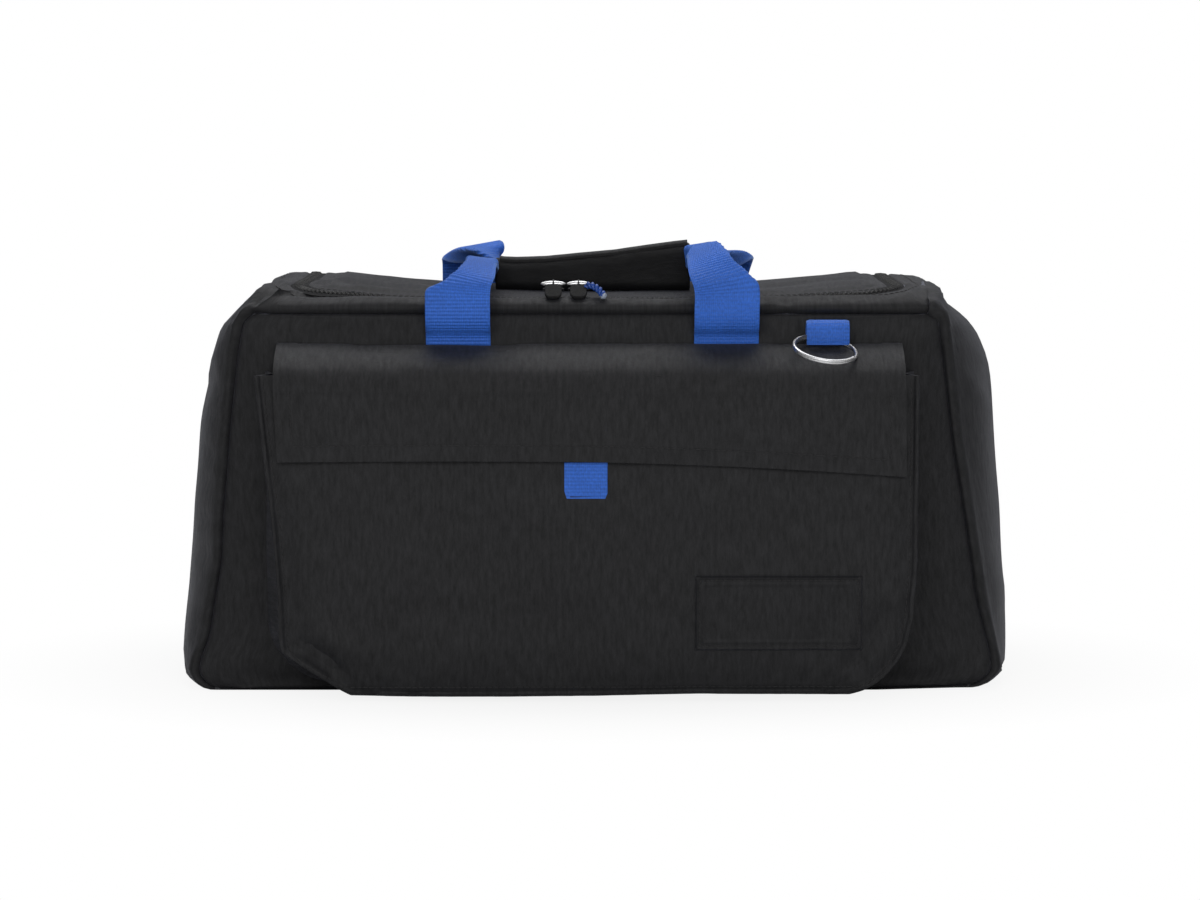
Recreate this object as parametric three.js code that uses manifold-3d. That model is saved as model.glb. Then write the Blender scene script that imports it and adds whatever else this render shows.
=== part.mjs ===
// A padded, soft-sided gear bag: black nylon over foam, a zipped lid hinged on its rear seam, two blue
// webbing handles joined by a hand wrap, and a bellows pocket with a hanging flap on the front.
// Millimetres, +X to the right, +Y to the rear, +Z up, standing on z = 0.
import * as THREE from "three";
import { mergeVertices } from "three/addons/utils/BufferGeometryUtils.js";
import Module from "manifold-3d";

const wasm = await Module();
wasm.setup();

// ---------- driving dimensions ----------

const gap = 0.3; // between pieces that are sewn or pressed together

// body, measured along the sewn edges of the front panel
const bodyDepth = 210;
const seamTopZ = 225;
const baseHalfWidth = 235.5;
const topHalfWidth = 206;
const baseCornerRadius = 20;
const seamCornerRadius = 12; // top corner at the front and rear seams
const midCornerWidth = 27; // top corner at mid-depth
const midCornerHeight = 36;
const baseBulge = 20.5; // how far the ends swell past the seams
const topBulge = 26;
const crownHeight = 13; // how far the top swells above the seams

// wall layers
const skin = 1.4;
const foam = 8.5;
const board = 2;
const lining = 0.8;

// lid and its zip, which runs along the front and back along both ends
const zipEndInset = 20; // from the top corners at the seams
const zipFrontInset = 21; // from the front seam
const zipCornerRadius = 22;
const lidHingeInset = 13; // from the rear seam
const zipRearEnd = 8; // where the zip stops short of the hinge line
const chainWidth = 6.6;
const chainHeight = 2.2;
const chainSplit = 1.4; // between the two rows of teeth, where a slider's web runs
const tapeWidth = 2;
const tapeThickness = 0.8;
const sliderLength = 13;
const sliderWidth = 11;
const sliderWeb = 0.8;
const sliderPlate = 1.2;
const sliderWebLength = 3;
const bailHeight = 4.4;
const bailLength = 9;
const bailThickness = 2.4;
const bailWall = 1.2;
const leftSliderX = -24.5;
const rightSliderX = -9.5;
const pullerLength = 20;
const pullerWidth = 9;
const pullerThickness = 1.6;
const pullerTilt = 20; // degrees below level, as it lies on the front crown
const pullerPin = 1.2;
const pullerEar = 1.6;
const pullerEarSpacing = 2.4; // from the puller's middle
const pullerEarReach = 6;
const cordWire = 1.1; // loop of cord through the right puller's end
const cordWidth = 10.5;
const cordReach = 12; // from the puller's pin

// webbing and handles
const webbing = 1.6;
const strapWidth = 38;
const strapCentreX = -1.3;
const strapHalfSpacing = 79;
const strapTailZ = 152; // lower end of the sewn tails
const strapExitRise = 3; // above the flap's seam, where a strap leaves the panel
const strapBulge = 12.5; // how far a strap stands off the panel
const strapCrestZ = 243.5; // outer corner where it turns in over the top
const frontGripY = -14;
const gripBottomZ = 240.2;
const gripLeftHeight = 10; // the front grip is squeezed lower at its left end
const gripRightHeight = 20;
const gripThickness = 8;
const rearGripY = 11.5; // the rear grip lies flat on the lid, behind the wrap
const rearGripWidth = 20;
const rearGripThickness = 4;
const loopRise = 14; // how far the loop's shoulders stand above the crest
const wrapHalfLength = 59.5;
const wrapBottomZ = 238.7;
const wrapWall = 1.8; // above the grip
const wrapDepth = 23;
const wrapCornerRadius = 5;
const closureWidth = 19;
const closureThickness = 1.6;

// front pocket and flap
const pocketCentreX = -3;
const pocketHalfWidth = 192;
const pocketBottomZ = 3;
const pocketTopZ = 190;
const pocketCornerRadius = 40;
const pocketTopDepth = 34;
const pocketBottomDepth = 50;
const pocketFoot = 12; // rounding of the face into the pocket's bottom
const pocketHem = 14;
const flapHalfWidth = 185;
const flapRise = 16; // from the pocket's top up to the flap's seam
const flapDrop = 54; // from the pocket's top down to the flap's hem
const flapHemTilt = 4.6; // the hem hangs lower on the right
const flapStandOff = 2.7;
const flapLip = 3; // height of the flap's folded edge on the panel
const fastenerWidth = 100;
const fastenerHeight = 24;
const fastenerX = 26;
const fastenerZ = 153;
const fastenerThickness = 0.9;
const tabWidth = 25;
const tabDrop = 17;
const tabX = -5;
const patchWidth = 94;
const patchHeight = 43.5;
const patchX = 104;
const patchZ = 53;
const patchThickness = 1.2;

// split ring and its loop
const keyLoopX = 137;
const keyLoopWidth = 25;
const keyLoopRadius = 5.6;
const keyLoopRise = 7.5; // its middle, above the flap's seam
const ringRadius = 16.6;
const ringWire = 1.6;
const ringTilt = 26; // degrees below level, as it lies on the flap
const keyLoopTail = 9; // length of its rear leg behind the flap's edge

// ---------- colours ----------

const finish = (color, roughness, metalness) => ({ color, roughness, metalness });
const blackNylon = finish(0x202227, 0.82, 0);
const blackLining = finish(0x16181b, 0.9, 0);
const greyFoam = finish(0x4a4c50, 0.95, 0);
const blackBoard = finish(0x17181a, 0.6, 0);
const blueWebbing = finish(0x2450b4, 0.75, 0);
const blackPlastic = finish(0x141518, 0.45, 0);
const blackMetal = finish(0x1b1c1f, 0.4, 0.8);
const brightMetal = finish(0xc6c8cc, 0.25, 1);

// ---------- solids ----------

const halfDepth = bodyDepth / 2;
const zipHalfWidth = topHalfWidth - zipEndInset;
const zipFrontY = zipFrontInset - halfDepth;
const lidHingeY = halfDepth - lidHingeInset;
const flapSeamZ = pocketTopZ + flapRise;
const flapHemZ = pocketTopZ - flapDrop;
const strapExitZ = flapSeamZ + strapExitRise;
const keyLoopZ = flapSeamZ + keyLoopRise;
const degrees = Math.PI / 180;
const around = (centre, width) => [centre - width / 2, centre + width / 2];

// cutting tools reach well past the part on every side
const farOut = 2 * baseHalfWidth;
const topHalf = [seamTopZ / 2, 2 * seamTopZ];

// turns a triangle list so that its faces point out
function outward(positions, index) {
  let volume = 0;
  const corner = (i) => new THREE.Vector3().fromArray(positions, 3 * i);
  for (let i = 0; i < index.length; i += 3) {
    volume += corner(index[i]).dot(corner(index[i + 1]).cross(corner(index[i + 2])));
  }
  const turned = volume < 0 ? [...index].reverse() : [...index];
  const geometry = new THREE.BufferGeometry();
  geometry.setAttribute("position", new THREE.Float32BufferAttribute(positions, 3));
  geometry.setIndex(turned);
  geometry.computeVertexNormals();
  return geometry;
}

// a closed solid through equal rings of points, capped at both ends
function loft(rings) {
  const positions = rings.flat(2);
  const index = [];
  const count = rings[0].length;
  const quad = (a, b, c, d) => index.push(a, b, c, a, c, d);
  for (let i = 0; i + 1 < rings.length; i++) {
    for (let j = 0; j < count; j++) {
      const next = (j + 1) % count;
      quad(i * count + j, i * count + next, (i + 1) * count + next, (i + 1) * count + j);
    }
  }
  const last = (rings.length - 1) * count;
  for (let j = 0; j + 1 < count / 2; j++) {
    const across = count - 1 - j;
    quad(j, across, across - 1, j + 1);
    quad(last + j, last + j + 1, last + across - 1, last + across);
  }
  return outward(positions, index);
}

// a closed sheet between two equal grids of points
function sheet(outer, inner) {
  return loft(outer.map((row, i) => [...row, ...[...inner[i]].reverse()]));
}

// an outline extruded along one axis; the outline holds the other two coordinates in X, Y, Z order
function prism(outline, axis, from, to) {
  const shape = new THREE.Shape(outline.map(([a, b]) => new THREE.Vector2(a, b)));
  const geometry = new THREE.ExtrudeGeometry(shape, { depth: to - from, bevelEnabled: false });
  const source = geometry.getAttribute("position");
  const positions = [];
  for (let i = 0; i < source.count; i++) {
    const [a, b, c] = [source.getX(i), source.getY(i), source.getZ(i) + from];
    positions.push(...{ x: [c, a, b], y: [a, c, b], z: [a, b, c] }[axis]);
  }
  return outward(positions, [...Array(source.count).keys()]);
}

const block = ([x0, x1], [y0, y1], [z0, z1]) =>
  prism([[x0, y0], [x1, y0], [x1, y1], [x0, y1]], "z", z0, z1);

function solid(geometry) {
  const bare = new THREE.BufferGeometry();
  bare.setAttribute("position", geometry.getAttribute("position"));
  if (geometry.index) bare.setIndex(geometry.index);
  const merged = mergeVertices(bare, 1e-4);
  return new wasm.Manifold(new wasm.Mesh({
    numProp: 3,
    vertProperties: Float32Array.from(merged.getAttribute("position").array),
    triVerts: Uint32Array.from(merged.index.array),
  }));
}

function fromSolid(body) {
  const mesh = body.getMesh();
  const geometry = new THREE.BufferGeometry();
  geometry.setAttribute("position", new THREE.Float32BufferAttribute(mesh.vertProperties, 3));
  geometry.setIndex([...mesh.triVerts]);
  geometry.computeVertexNormals();
  return geometry;
}

const cut = (geometry, ...tools) =>
  fromSolid(tools.reduce((body, tool) => body.subtract(solid(tool)), solid(geometry)));
const common = (geometry, ...others) =>
  fromSolid(others.reduce((body, other) => body.intersect(solid(other)), solid(geometry)));
const join = (geometry, ...others) =>
  fromSolid(others.reduce((body, other) => body.add(solid(other)), solid(geometry)));

// a band of even thickness along a route of points in one plane
function band(route, thickness, side = 0) {
  const offset = (point, i, distance) => {
    const before = route[Math.max(i - 1, 0)];
    const after = route[Math.min(i + 1, route.length - 1)];
    const length = Math.hypot(after[0] - before[0], after[1] - before[1]);
    const normal = [-(after[1] - before[1]) / length, (after[0] - before[0]) / length];
    return [point[0] + normal[0] * distance, point[1] + normal[1] * distance];
  };
  const far = thickness * (0.5 + side / 2);
  return [
    ...route.map((point, i) => offset(point, i, far)),
    ...route.map((point, i) => offset(point, i, far - thickness)).reverse(),
  ];
}

// evenly spaced points on a smooth curve through the given ones
function smooth(points, count) {
  const curve = new THREE.CatmullRomCurve3(points.map(([a, b]) => new THREE.Vector3(a, b, 0)));
  return curve.getSpacedPoints(count).map(({ x, y }) => [x, y]);
}

const steps = (count, from, to) =>
  Array.from({ length: count + 1 }, (_, i) => from + ((to - from) * i) / count);

// ---------- assembly ----------

const bag = new THREE.Group();

function add(name, geometry, look) {
  const material = new THREE.MeshStandardMaterial({ ...look, side: THREE.FrontSide });
  const mesh = new THREE.Mesh(geometry, material);
  mesh.name = name;
  bag.add(mesh);
}

// ---------- body form: one rounded section, which swells towards mid-depth ----------

const swell = (y) => Math.pow(Math.max(0, 1 - Math.pow(Math.abs(y) / halfDepth, 2.6)), 0.6);
const crown = (y) => Math.sqrt(Math.max(0, 1 - Math.pow(Math.abs(y) / halfDepth, 5)));

function sectionAt(y) {
  return {
    base: baseHalfWidth + baseBulge * swell(y),
    top: topHalfWidth + topBulge * swell(y),
    topZ: seamTopZ + crownHeight * crown(y),
    cornerWidth: seamCornerRadius + (midCornerWidth - seamCornerRadius) * swell(y),
    cornerHeight: seamCornerRadius + (midCornerHeight - seamCornerRadius) * swell(y),
  };
}

const topZAt = (y) => sectionAt(y).topZ;

// the section's right-hand end, from the base round both corners to the top, pulled in by an inset
function endOutline(y, inset) {
  const { base, top, topZ, cornerWidth, cornerHeight } = sectionAt(y);
  const points = steps(4, -90, 0).map((angle) => [
    base - baseCornerRadius + baseCornerRadius * Math.cos(angle * degrees),
    baseCornerRadius + baseCornerRadius * Math.sin(angle * degrees),
  ]);
  const shoulderZ = topZ - cornerHeight;
  for (const share of [0.33, 0.67]) {
    const z = baseCornerRadius + (shoulderZ - baseCornerRadius) * share;
    points.push([base + (top - base) * share, z]);
  }
  for (const angle of steps(4, 0, 90)) {
    points.push([
      top - cornerWidth + cornerWidth * Math.cos(angle * degrees),
      shoulderZ + cornerHeight * Math.sin(angle * degrees),
    ]);
  }
  return points.map(([x, z], i) => {
    const before = points[Math.max(i - 1, 0)];
    const after = points[Math.min(i + 1, points.length - 1)];
    let normal = new THREE.Vector2(after[1] - before[1], before[0] - after[0]).normalize();
    if (i === 0) normal = new THREE.Vector2(0, -1);
    if (i === points.length - 1) normal = new THREE.Vector2(0, 1);
    return [x - normal.x * inset, z - normal.y * inset];
  });
}

// the layers of one wall: how far each lies below the outer surface
const skinLayer = [0, skin];
const foamLayer = [skin + gap, skin + gap + foam];
const liningLayer = [foamLayer[1] + gap, foamLayer[1] + gap + lining];
const innerDepth = halfDepth - foamLayer[1] - gap; // where layers that stop at the panels' foam end

// every layer is drawn through the same stations, so that its facets lie parallel to its neighbours'
const stationShares = [0, 0.3, 0.55, 0.76, 0.965];
const stations = [...stationShares.map((share) => share * halfDepth), innerDepth].sort((a, b) => a - b);
const depths = (limit) => {
  const half = [...stations.filter((y) => y < limit - 1e-6), limit];
  return [...half.slice(1).map((y) => -y).reverse(), ...half];
};

function endWall(side, [outerInset, innerInset], limit) {
  const grid = (inset) =>
    depths(limit).map((y) => endOutline(y, inset).map(([x, z]) => [side * x, y, z]));
  return sheet(grid(outerInset), grid(innerInset));
}

function baseWall(bottomZ, topZ, limit) {
  const ring = (y) => {
    const half = sectionAt(y).base - baseCornerRadius - gap;
    return [[-half, y, bottomZ], [half, y, bottomZ], [half, y, topZ], [-half, y, topZ]];
  };
  return loft(depths(limit).map(ring));
}

function panelOutline(inset) {
  const right = endOutline(halfDepth, inset);
  return [...right, ...right.map(([x, z]) => [-x, z]).reverse()];
}

// front and rear panels lie inside the strip of the ends, base and top
function panel(facing, [outerInset, innerInset]) {
  const [y0, y1] = [halfDepth - innerInset, halfDepth - outerInset].map((y) => facing * y);
  return prism(panelOutline(skin + gap), "y", Math.min(y0, y1), Math.max(y0, y1));
}

add("base_skin", baseWall(0, skin, halfDepth), blackNylon);
add("base_board", baseWall(skin + gap, skin + gap + board, innerDepth), blackBoard);
add("base_foam", baseWall(skin + board + 2 * gap, foamLayer[1], innerDepth), greyFoam);
for (const [side, name] of [[-1, "left"], [1, "right"]]) {
  add(`${name}_end_skin`, endWall(side, skinLayer, halfDepth), blackNylon);
  add(`${name}_end_foam`, endWall(side, foamLayer, innerDepth), greyFoam);
}
for (const [facing, name] of [[-1, "front"], [1, "rear"]]) {
  add(`${name}_panel_skin`, panel(facing, skinLayer), blackNylon);
  add(`${name}_panel_foam`, panel(facing, foamLayer), greyFoam);
}

// the lining is an open tub, with a mouth under the lid
const liningTopZ = seamTopZ - 6;
const liningMouthDepth = 30;
function tub(inset, limit, topZ) {
  const ring = (y) => {
    const right = endOutline(y, inset).map(([x, z]) => [x, Math.min(z, topZ)]);
    return [...right, ...right.map(([x, z]) => [-x, z]).reverse()].map(([x, z]) => [x, y, z]);
  };
  return loft(depths(limit).map(ring));
}
const liningOuterY = innerDepth - gap;
const liningInnerY = liningOuterY - lining;
const liningCavity = tub(liningLayer[1], liningInnerY, liningTopZ);
const liningMouth = block(around(0, 2 * zipHalfWidth), around(0, 2 * liningInnerY),
  [liningTopZ - liningMouthDepth, topHalf[1]]);
add("lining", cut(tub(liningLayer[0], liningOuterY, liningTopZ), liningCavity, liningMouth), blackLining);

// ---------- top: a rim round the lid, the lid, and the zip between them ----------

const acrossSteps = steps(10, -1, 1);

// the top's domed sheet between two depths below its surface
function topSheet([upper, lower]) {
  const grid = (inset) => depths(halfDepth).map((y) => {
    const { top, cornerWidth, topZ } = sectionAt(y);
    return acrossSteps.map((share) => [share * (top - cornerWidth - gap), y, topZ - inset]);
  });
  return sheet(grid(upper), grid(lower));
}

// the area inside the zip line, grown by an offset; its rear edge is the lid's hinge line
function zipOutline(offset, rearY = lidHingeY) {
  const half = zipHalfWidth + offset;
  const front = zipFrontY - offset;
  const radius = zipCornerRadius + offset;
  const corner = steps(6, 0, 90).map((angle) => [
    half - radius + radius * Math.cos(angle * degrees),
    front + radius - radius * Math.sin(angle * degrees),
  ]);
  const right = [[half, rearY], ...corner];
  return [...right, ...right.map(([x, y]) => [-x, y]).reverse()];
}
const zipPrism = (offset, rearY) => prism(zipOutline(offset, rearY), "z", ...topHalf);
const zipRearY = lidHingeY - zipRearEnd;
const between = (layer, outerOffset, innerOffset) =>
  cut(common(topSheet(layer), zipPrism(outerOffset, zipRearY)), zipPrism(innerOffset, zipRearY + 1));

const chainEdge = chainWidth / 2;
const tapeEdge = chainEdge + gap + tapeWidth;
const clothEdge = tapeEdge + gap;
const foamEdge = clothEdge + 1;
const tapeDrop = 0.3;
const tapeLayer = [tapeDrop, tapeDrop + tapeThickness];
const chainMiddle = tapeDrop + tapeThickness / 2;
const chainLayer = [chainMiddle - chainHeight / 2, chainMiddle + chainHeight / 2];

const rimFoamBottom = seamTopZ - 0.7;
const rimFoamInset = 4;
const rimFoamSpace = block([-farOut, farOut], around(0, bodyDepth - 2 * rimFoamInset),
  [rimFoamBottom, topHalf[1]]);
add("top_rim_skin", cut(topSheet(skinLayer), zipPrism(clothEdge, lidHingeY + gap)), blackNylon);
add("top_rim_foam",
  cut(common(topSheet([skin + gap, crownHeight + 8]), rimFoamSpace), zipPrism(foamEdge, lidHingeY + 1)),
  greyFoam);
add("zip_tape_body", between(tapeLayer, tapeEdge, chainEdge + gap), blackNylon);
add("zip_chain_body", between(chainLayer, chainEdge, chainSplit / 2), blackPlastic);

// the lid's side of the zip is left open where the two sliders rest
const restPlace = block([leftSliderX - sliderLength, rightSliderX + sliderLength],
  around(zipFrontY, 2 * zipFrontInset), topHalf);
const lidCloth = (layer, offset) => common(topSheet(layer), zipPrism(-offset, lidHingeY - gap));
add("lid_skin", lidCloth(skinLayer, clothEdge), blackNylon);
add("lid_foam", lidCloth(foamLayer, foamEdge), greyFoam);
add("lid_lining", lidCloth(liningLayer, foamEdge), blackLining);
const lidTape = between(tapeLayer, -chainEdge - gap, -tapeEdge);
const lidChain = between(chainLayer, -chainSplit / 2, -chainEdge);
for (const [name, geometry, look] of [
  ["zip_tape_lid", lidTape, blackNylon],
  ["zip_chain_lid", lidChain, blackPlastic],
]) {
  const pieces = solid(cut(geometry, restPlace)).decompose();
  pieces.sort((a, b) => a.boundingBox().min[0] - b.boundingBox().min[0]);
  pieces.forEach((half, i) => add(`${name}_${["left", "right"][i]}`, fromSolid(half), look));
}

// sliders: two plates round the teeth, joined by a web between the rows, with a bail on top
const zipZ = topZAt(zipFrontY);
const chainRunningGap = 1.1; // room for the top's slope across the teeth
const plateZ = zipZ - chainLayer[0] + chainRunningGap;
const lowerPlateZ = zipZ - chainLayer[1] - chainRunningGap;
const bailTopZ = plateZ + sliderPlate + bailHeight;
const pullerAxis = [zipFrontY - 1.8, bailTopZ - bailWall - gap - pullerPin / 2];

function slider(centreX) {
  const x = around(centreX, sliderLength);
  const y = around(zipFrontY, sliderWidth);
  const upper = block(x, y, [plateZ, plateZ + sliderPlate]);
  const lower = block(x, y, [lowerPlateZ - sliderPlate, lowerPlateZ]);
  const web = block(around(centreX, sliderWebLength), around(zipFrontY, sliderWeb),
    [lowerPlateZ - sliderPlate / 2, plateZ + sliderPlate / 2]);
  const bail = block(around(centreX, bailThickness), around(zipFrontY, bailLength),
    [plateZ + sliderPlate / 2, bailTopZ]);
  const eye = block(around(centreX, 2 * bailThickness), around(zipFrontY, bailLength - 2 * bailWall),
    [plateZ + sliderPlate, bailTopZ - bailWall]);
  return join(upper, lower, web, cut(bail, eye));
}

// a puller hangs on a pin through the bail and lies forward over the front crown
function puller(centreX) {
  const [y, z] = pullerAxis;
  const half = pullerThickness / 2;
  const pin = block(around(centreX, 2 * pullerEarSpacing + pullerEar), around(y, pullerPin),
    around(z, pullerPin));
  const ears = [-1, 1].map((side) => block(around(centreX + side * pullerEarSpacing, pullerEar),
    [y - pullerEarReach, y + pullerPin / 2], [z - half, z + half]));
  const tab = block(around(centreX, pullerWidth), [y - pullerLength, y - pullerEarReach + 1],
    [z - half, z + half]);
  return tilted(join(pin, ...ears, tab), pullerAxis, pullerTilt);
}

// turns a solid about a line along X, its front end down
function tilted(geometry, [y, z], angle) {
  return geometry.translate(0, -y, -z).rotateX(angle * degrees).translate(0, y, z);
}

const ring = (radius, wire, segments) => new THREE.TorusGeometry(radius, wire, 6, segments);

for (const [name, centreX] of [["left", leftSliderX], ["right", rightSliderX]]) {
  add(`${name}_slider`, slider(centreX), brightMetal);
  add(`${name}_puller`, puller(centreX), blackMetal);
}

const cordX = rightSliderX + pullerWidth / 2 + gap + cordWidth / 2;
const cordLoop = ring(cordWidth / 2 - cordWire, cordWire, 14)
  .translate(cordX, pullerAxis[0] - cordReach, pullerAxis[1]);
add("puller_cord", tilted(cordLoop, pullerAxis, pullerTilt), blueWebbing);

// ---------- handles: fixed legs on each panel and a loop that folds at the crest ----------

const panelFace = halfDepth + gap;
const crestY = halfDepth + strapBulge;

// how far a leg has swung out, as a share of its bulge, at shares of its rise to the crest
const legShape = [[0, 0], [0.25, 0.18], [0.72, 0.46], [0.94, 0.77], [1, 1]];
const legEnd = 4; // straight end below the crest

function strapLeg(facing, centreX) {
  const sewnY = panelFace + webbing / 2;
  const bulge = crestY - webbing / 2 - sewnY;
  const curveZ = strapExitZ - webbing;
  const rise = strapCrestZ - legEnd - curveZ;
  const curve = legShape.map(([out, up]) => [sewnY + bulge * out, curveZ + rise * up]);
  const route = [[sewnY, strapTailZ], [sewnY, curveZ - legEnd], ...smooth(curve, 9)];
  const outline = band(route, webbing);
  // mitred end, below the loop's mitred start
  outline.splice(route.length, 0,
    [crestY - webbing, strapCrestZ - webbing - 2 * gap], [crestY, strapCrestZ - gap]);
  return prism(outline.map(([y, z]) => [facing * y, z]), "x", ...around(centreX, strapWidth));
}

// half a loop as sections: distance out from the middle in X, then Y, Z, yaw, roll, width, thickness
function loopSections(gripY, [gripZ, gripRoll, gripWidth, thickness]) {
  const share = (amount) => -crestY + (crestY - Math.abs(gripY)) * amount;
  const gripEndX = wrapHalfLength + gap + webbing / 3;
  return [
    [strapHalfSpacing, -crestY + webbing / 2, strapCrestZ - webbing / 2, 90, 0, strapWidth, webbing],
    [strapHalfSpacing, share(0.28), strapCrestZ + 0.57 * loopRise, 90, 0, strapWidth, webbing],
    [strapHalfSpacing - 1, share(0.55), strapCrestZ + 0.96 * loopRise, 84, 6, strapWidth - 2, webbing + 0.6],
    [strapHalfSpacing - 5, share(0.78), strapCrestZ + loopRise, 66, 0.33 * gripRoll,
      strapWidth - 9, webbing + 2],
    [gripEndX + 7, share(0.94), (strapCrestZ + loopRise + gripZ) / 2, 32, 0.7 * gripRoll,
      (strapWidth - 9 + gripWidth) / 2, (webbing + 2 + thickness) / 2],
    [gripEndX, share(1), gripZ, 0, gripRoll, gripWidth, thickness],
  ];
}

function handleLoop(facing, gripY, leftGrip, rightGrip) {
  const grips = { [-1]: leftGrip, 1: rightGrip };
  const half = (side) => loopSections(gripY, grips[side]).map(([x, y, z, yaw, roll, width, depth], i) => {
    const along = new THREE.Vector3(Math.sin(yaw * degrees), -Math.cos(yaw * degrees), 0);
    const up = new THREE.Vector3(0, 0, 1);
    const across = along.clone().multiplyScalar(Math.cos(roll * degrees))
      .addScaledVector(up, Math.sin(roll * degrees));
    const normal = along.clone().multiplyScalar(-Math.sin(roll * degrees))
      .addScaledVector(up, Math.cos(roll * degrees));
    if (i === 0) normal.set(0, -1, 1); // mitred start
    const corner = (a, b) => {
      const point = new THREE.Vector3(-x, y, z)
        .addScaledVector(across, (a * width) / 2).addScaledVector(normal, (b * depth) / 2);
      return [strapCentreX - side * point.x, -facing * point.y, point.z];
    };
    return [corner(-1, -1), corner(1, -1), corner(1, 1), corner(-1, 1)];
  });
  return loft([...half(-1), ...half(1).reverse()]);
}

for (const [facing, name] of [[-1, "front"], [1, "rear"]]) {
  for (const [side, hand] of [[-1, "left"], [1, "right"]]) {
    add(`${name}_strap_${hand}`, strapLeg(facing, strapCentreX + side * strapHalfSpacing), blueWebbing);
  }
}
const standingGrip = (height) => [gripBottomZ + height / 2, 90, height, gripThickness];
const lyingGrip = [gripBottomZ + rearGripThickness / 2, 0, rearGripWidth, rearGripThickness];
add("front_handle",
  handleLoop(-1, frontGripY, standingGrip(gripLeftHeight), standingGrip(gripRightHeight)), blueWebbing);
add("rear_handle", handleLoop(1, rearGripY, lyingGrip, lyingGrip), blueWebbing);

// a padded sleeve round the front grip, lower at its left end, with a fastening flap on top
function roundedOutline([y0, y1], [z0, z1], radius) {
  const corners = [[y1, z1, 0], [y0, z1, 90], [y0, z0, 180], [y1, z0, 270]];
  return corners.flatMap(([y, z, start]) => {
    const centre = [y === y1 ? y1 - radius : y0 + radius, z === z1 ? z1 - radius : z0 + radius];
    return steps(3, start, start + 90).map((angle) => [
      centre[0] + radius * Math.cos(angle * degrees), centre[1] + radius * Math.sin(angle * degrees)]);
  });
}
const [wrapLeftX, wrapRightX] = around(strapCentreX, 2 * wrapHalfLength);
const wrapY = around(frontGripY, wrapDepth);
const gripSpaceY = around(frontGripY, gripThickness + 2 * gap);
const gripSpaceZ = gripBottomZ - gap;
const ends = [[wrapLeftX, gripLeftHeight], [wrapRightX, gripRightHeight]];
const wrapRings = ends.map(([x, height]) =>
  roundedOutline(wrapY, [wrapBottomZ, gripBottomZ + height + wrapWall], wrapCornerRadius)
    .map(([y, z]) => [x, y, z]));
const gripSlope = (gripRightHeight - gripLeftHeight) / (2 * wrapHalfLength);
const gripSpaceRings = ends.map(([x, height], i) => {
  const past = 2 * i - 1; // the hollow runs past both ends
  const topZ = gripBottomZ + height + gap + past * gripSlope;
  const [y0, y1] = gripSpaceY;
  return [[y0, gripSpaceZ], [y1, gripSpaceZ], [y1, topZ], [y0, topZ]].map(([y, z]) => [x + past, y, z]);
});
add("hand_wrap", cut(loft(wrapRings), loft(gripSpaceRings)), blackNylon);
const closureInset = 4;
const closureTopZ = (x) => gripBottomZ + gripLeftHeight + wrapWall + gap + (x - wrapLeftX) * gripSlope;
const closureRings = [wrapLeftX + closureInset, wrapRightX - closureInset].map((x) => {
  const [y0, y1] = around(frontGripY, closureWidth);
  const z = closureTopZ(x);
  return [[x, y0, z], [x, y1, z], [x, y1, z + closureThickness], [x, y0, z + closureThickness]];
});
add("wrap_closure", loft(closureRings), blackNylon);

// ---------- front pocket ----------

// the pocket's face leans out towards its foot, where it rounds under
function faceY(z) {
  const share = (Math.max(z, pocketBottomZ) - pocketBottomZ) / (pocketTopZ - pocketBottomZ);
  const depth = pocketTopDepth + (pocketBottomDepth - pocketTopDepth) * (1 - Math.pow(share, 1.7));
  const under = Math.min(1, Math.max(0, pocketBottomZ + pocketFoot - z) / pocketFoot);
  return -halfDepth - depth + pocketFoot * (1 - Math.sqrt(1 - under * under));
}
const faceHeights = [0, 0.05, 0.2, 0.5, 1].map((s) => pocketBottomZ + pocketFoot * s)
  .concat(steps(7, pocketBottomZ + pocketFoot, pocketTopZ).slice(1));

// the face's side view between two distances in front of it
function faceSheet(near, far, heights, [x0, x1]) {
  const line = (distance) => heights.map((z) => [faceY(z) - distance, z]);
  return prism([...line(near), ...line(far).reverse()], "x", x0, x1);
}

function pocketOutline(inset, topZ = pocketTopZ) {
  const half = pocketHalfWidth - inset;
  const radius = pocketCornerRadius - inset;
  const corner = steps(6, 0, 90).map((angle) => [
    half - radius + radius * Math.cos(angle * degrees),
    pocketBottomZ + inset + radius - radius * Math.sin(angle * degrees),
  ]);
  const right = [[half, topZ], ...corner];
  return [...right.map(([x, z]) => [pocketCentreX + x, z]),
    ...right.map(([x, z]) => [pocketCentreX - x, z]).reverse()];
}
const pocketX = [-farOut, farOut];
const pocketPrism = (inset, topZ) =>
  prism(pocketOutline(inset, topZ), "y", -halfDepth - 2 * pocketBottomDepth, -halfDepth - gap);
add("pocket_face", common(faceSheet(0, -skin, faceHeights, pocketX), pocketPrism(0)), blackNylon);
const faceBack = faceHeights.map((z) => [faceY(z) + skin + gap, z]);
const behindFace = prism([...faceBack, [-panelFace, pocketTopZ], [-panelFace, pocketBottomZ]],
  "x", ...pocketX);
const pocketHollow = pocketPrism(skin, pocketTopZ + pocketHem);
add("pocket_gusset", cut(common(behindFace, pocketPrism(0)), pocketHollow), blackNylon);
const hemHeights = steps(2, pocketTopZ - pocketHem, pocketTopZ);
add("pocket_hem", faceSheet(-skin - gap, -2 * skin - gap, hemHeights,
  around(pocketCentreX, 2 * (pocketHalfWidth - skin - gap))), blackNylon);
const fastenerHeights = steps(2, fastenerZ - fastenerHeight / 2, fastenerZ + fastenerHeight / 2);
const fastenerSpan = around(fastenerX, fastenerWidth);
add("pocket_loop_strip", faceSheet(gap, gap + fastenerThickness, fastenerHeights, fastenerSpan), blackNylon);
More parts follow.
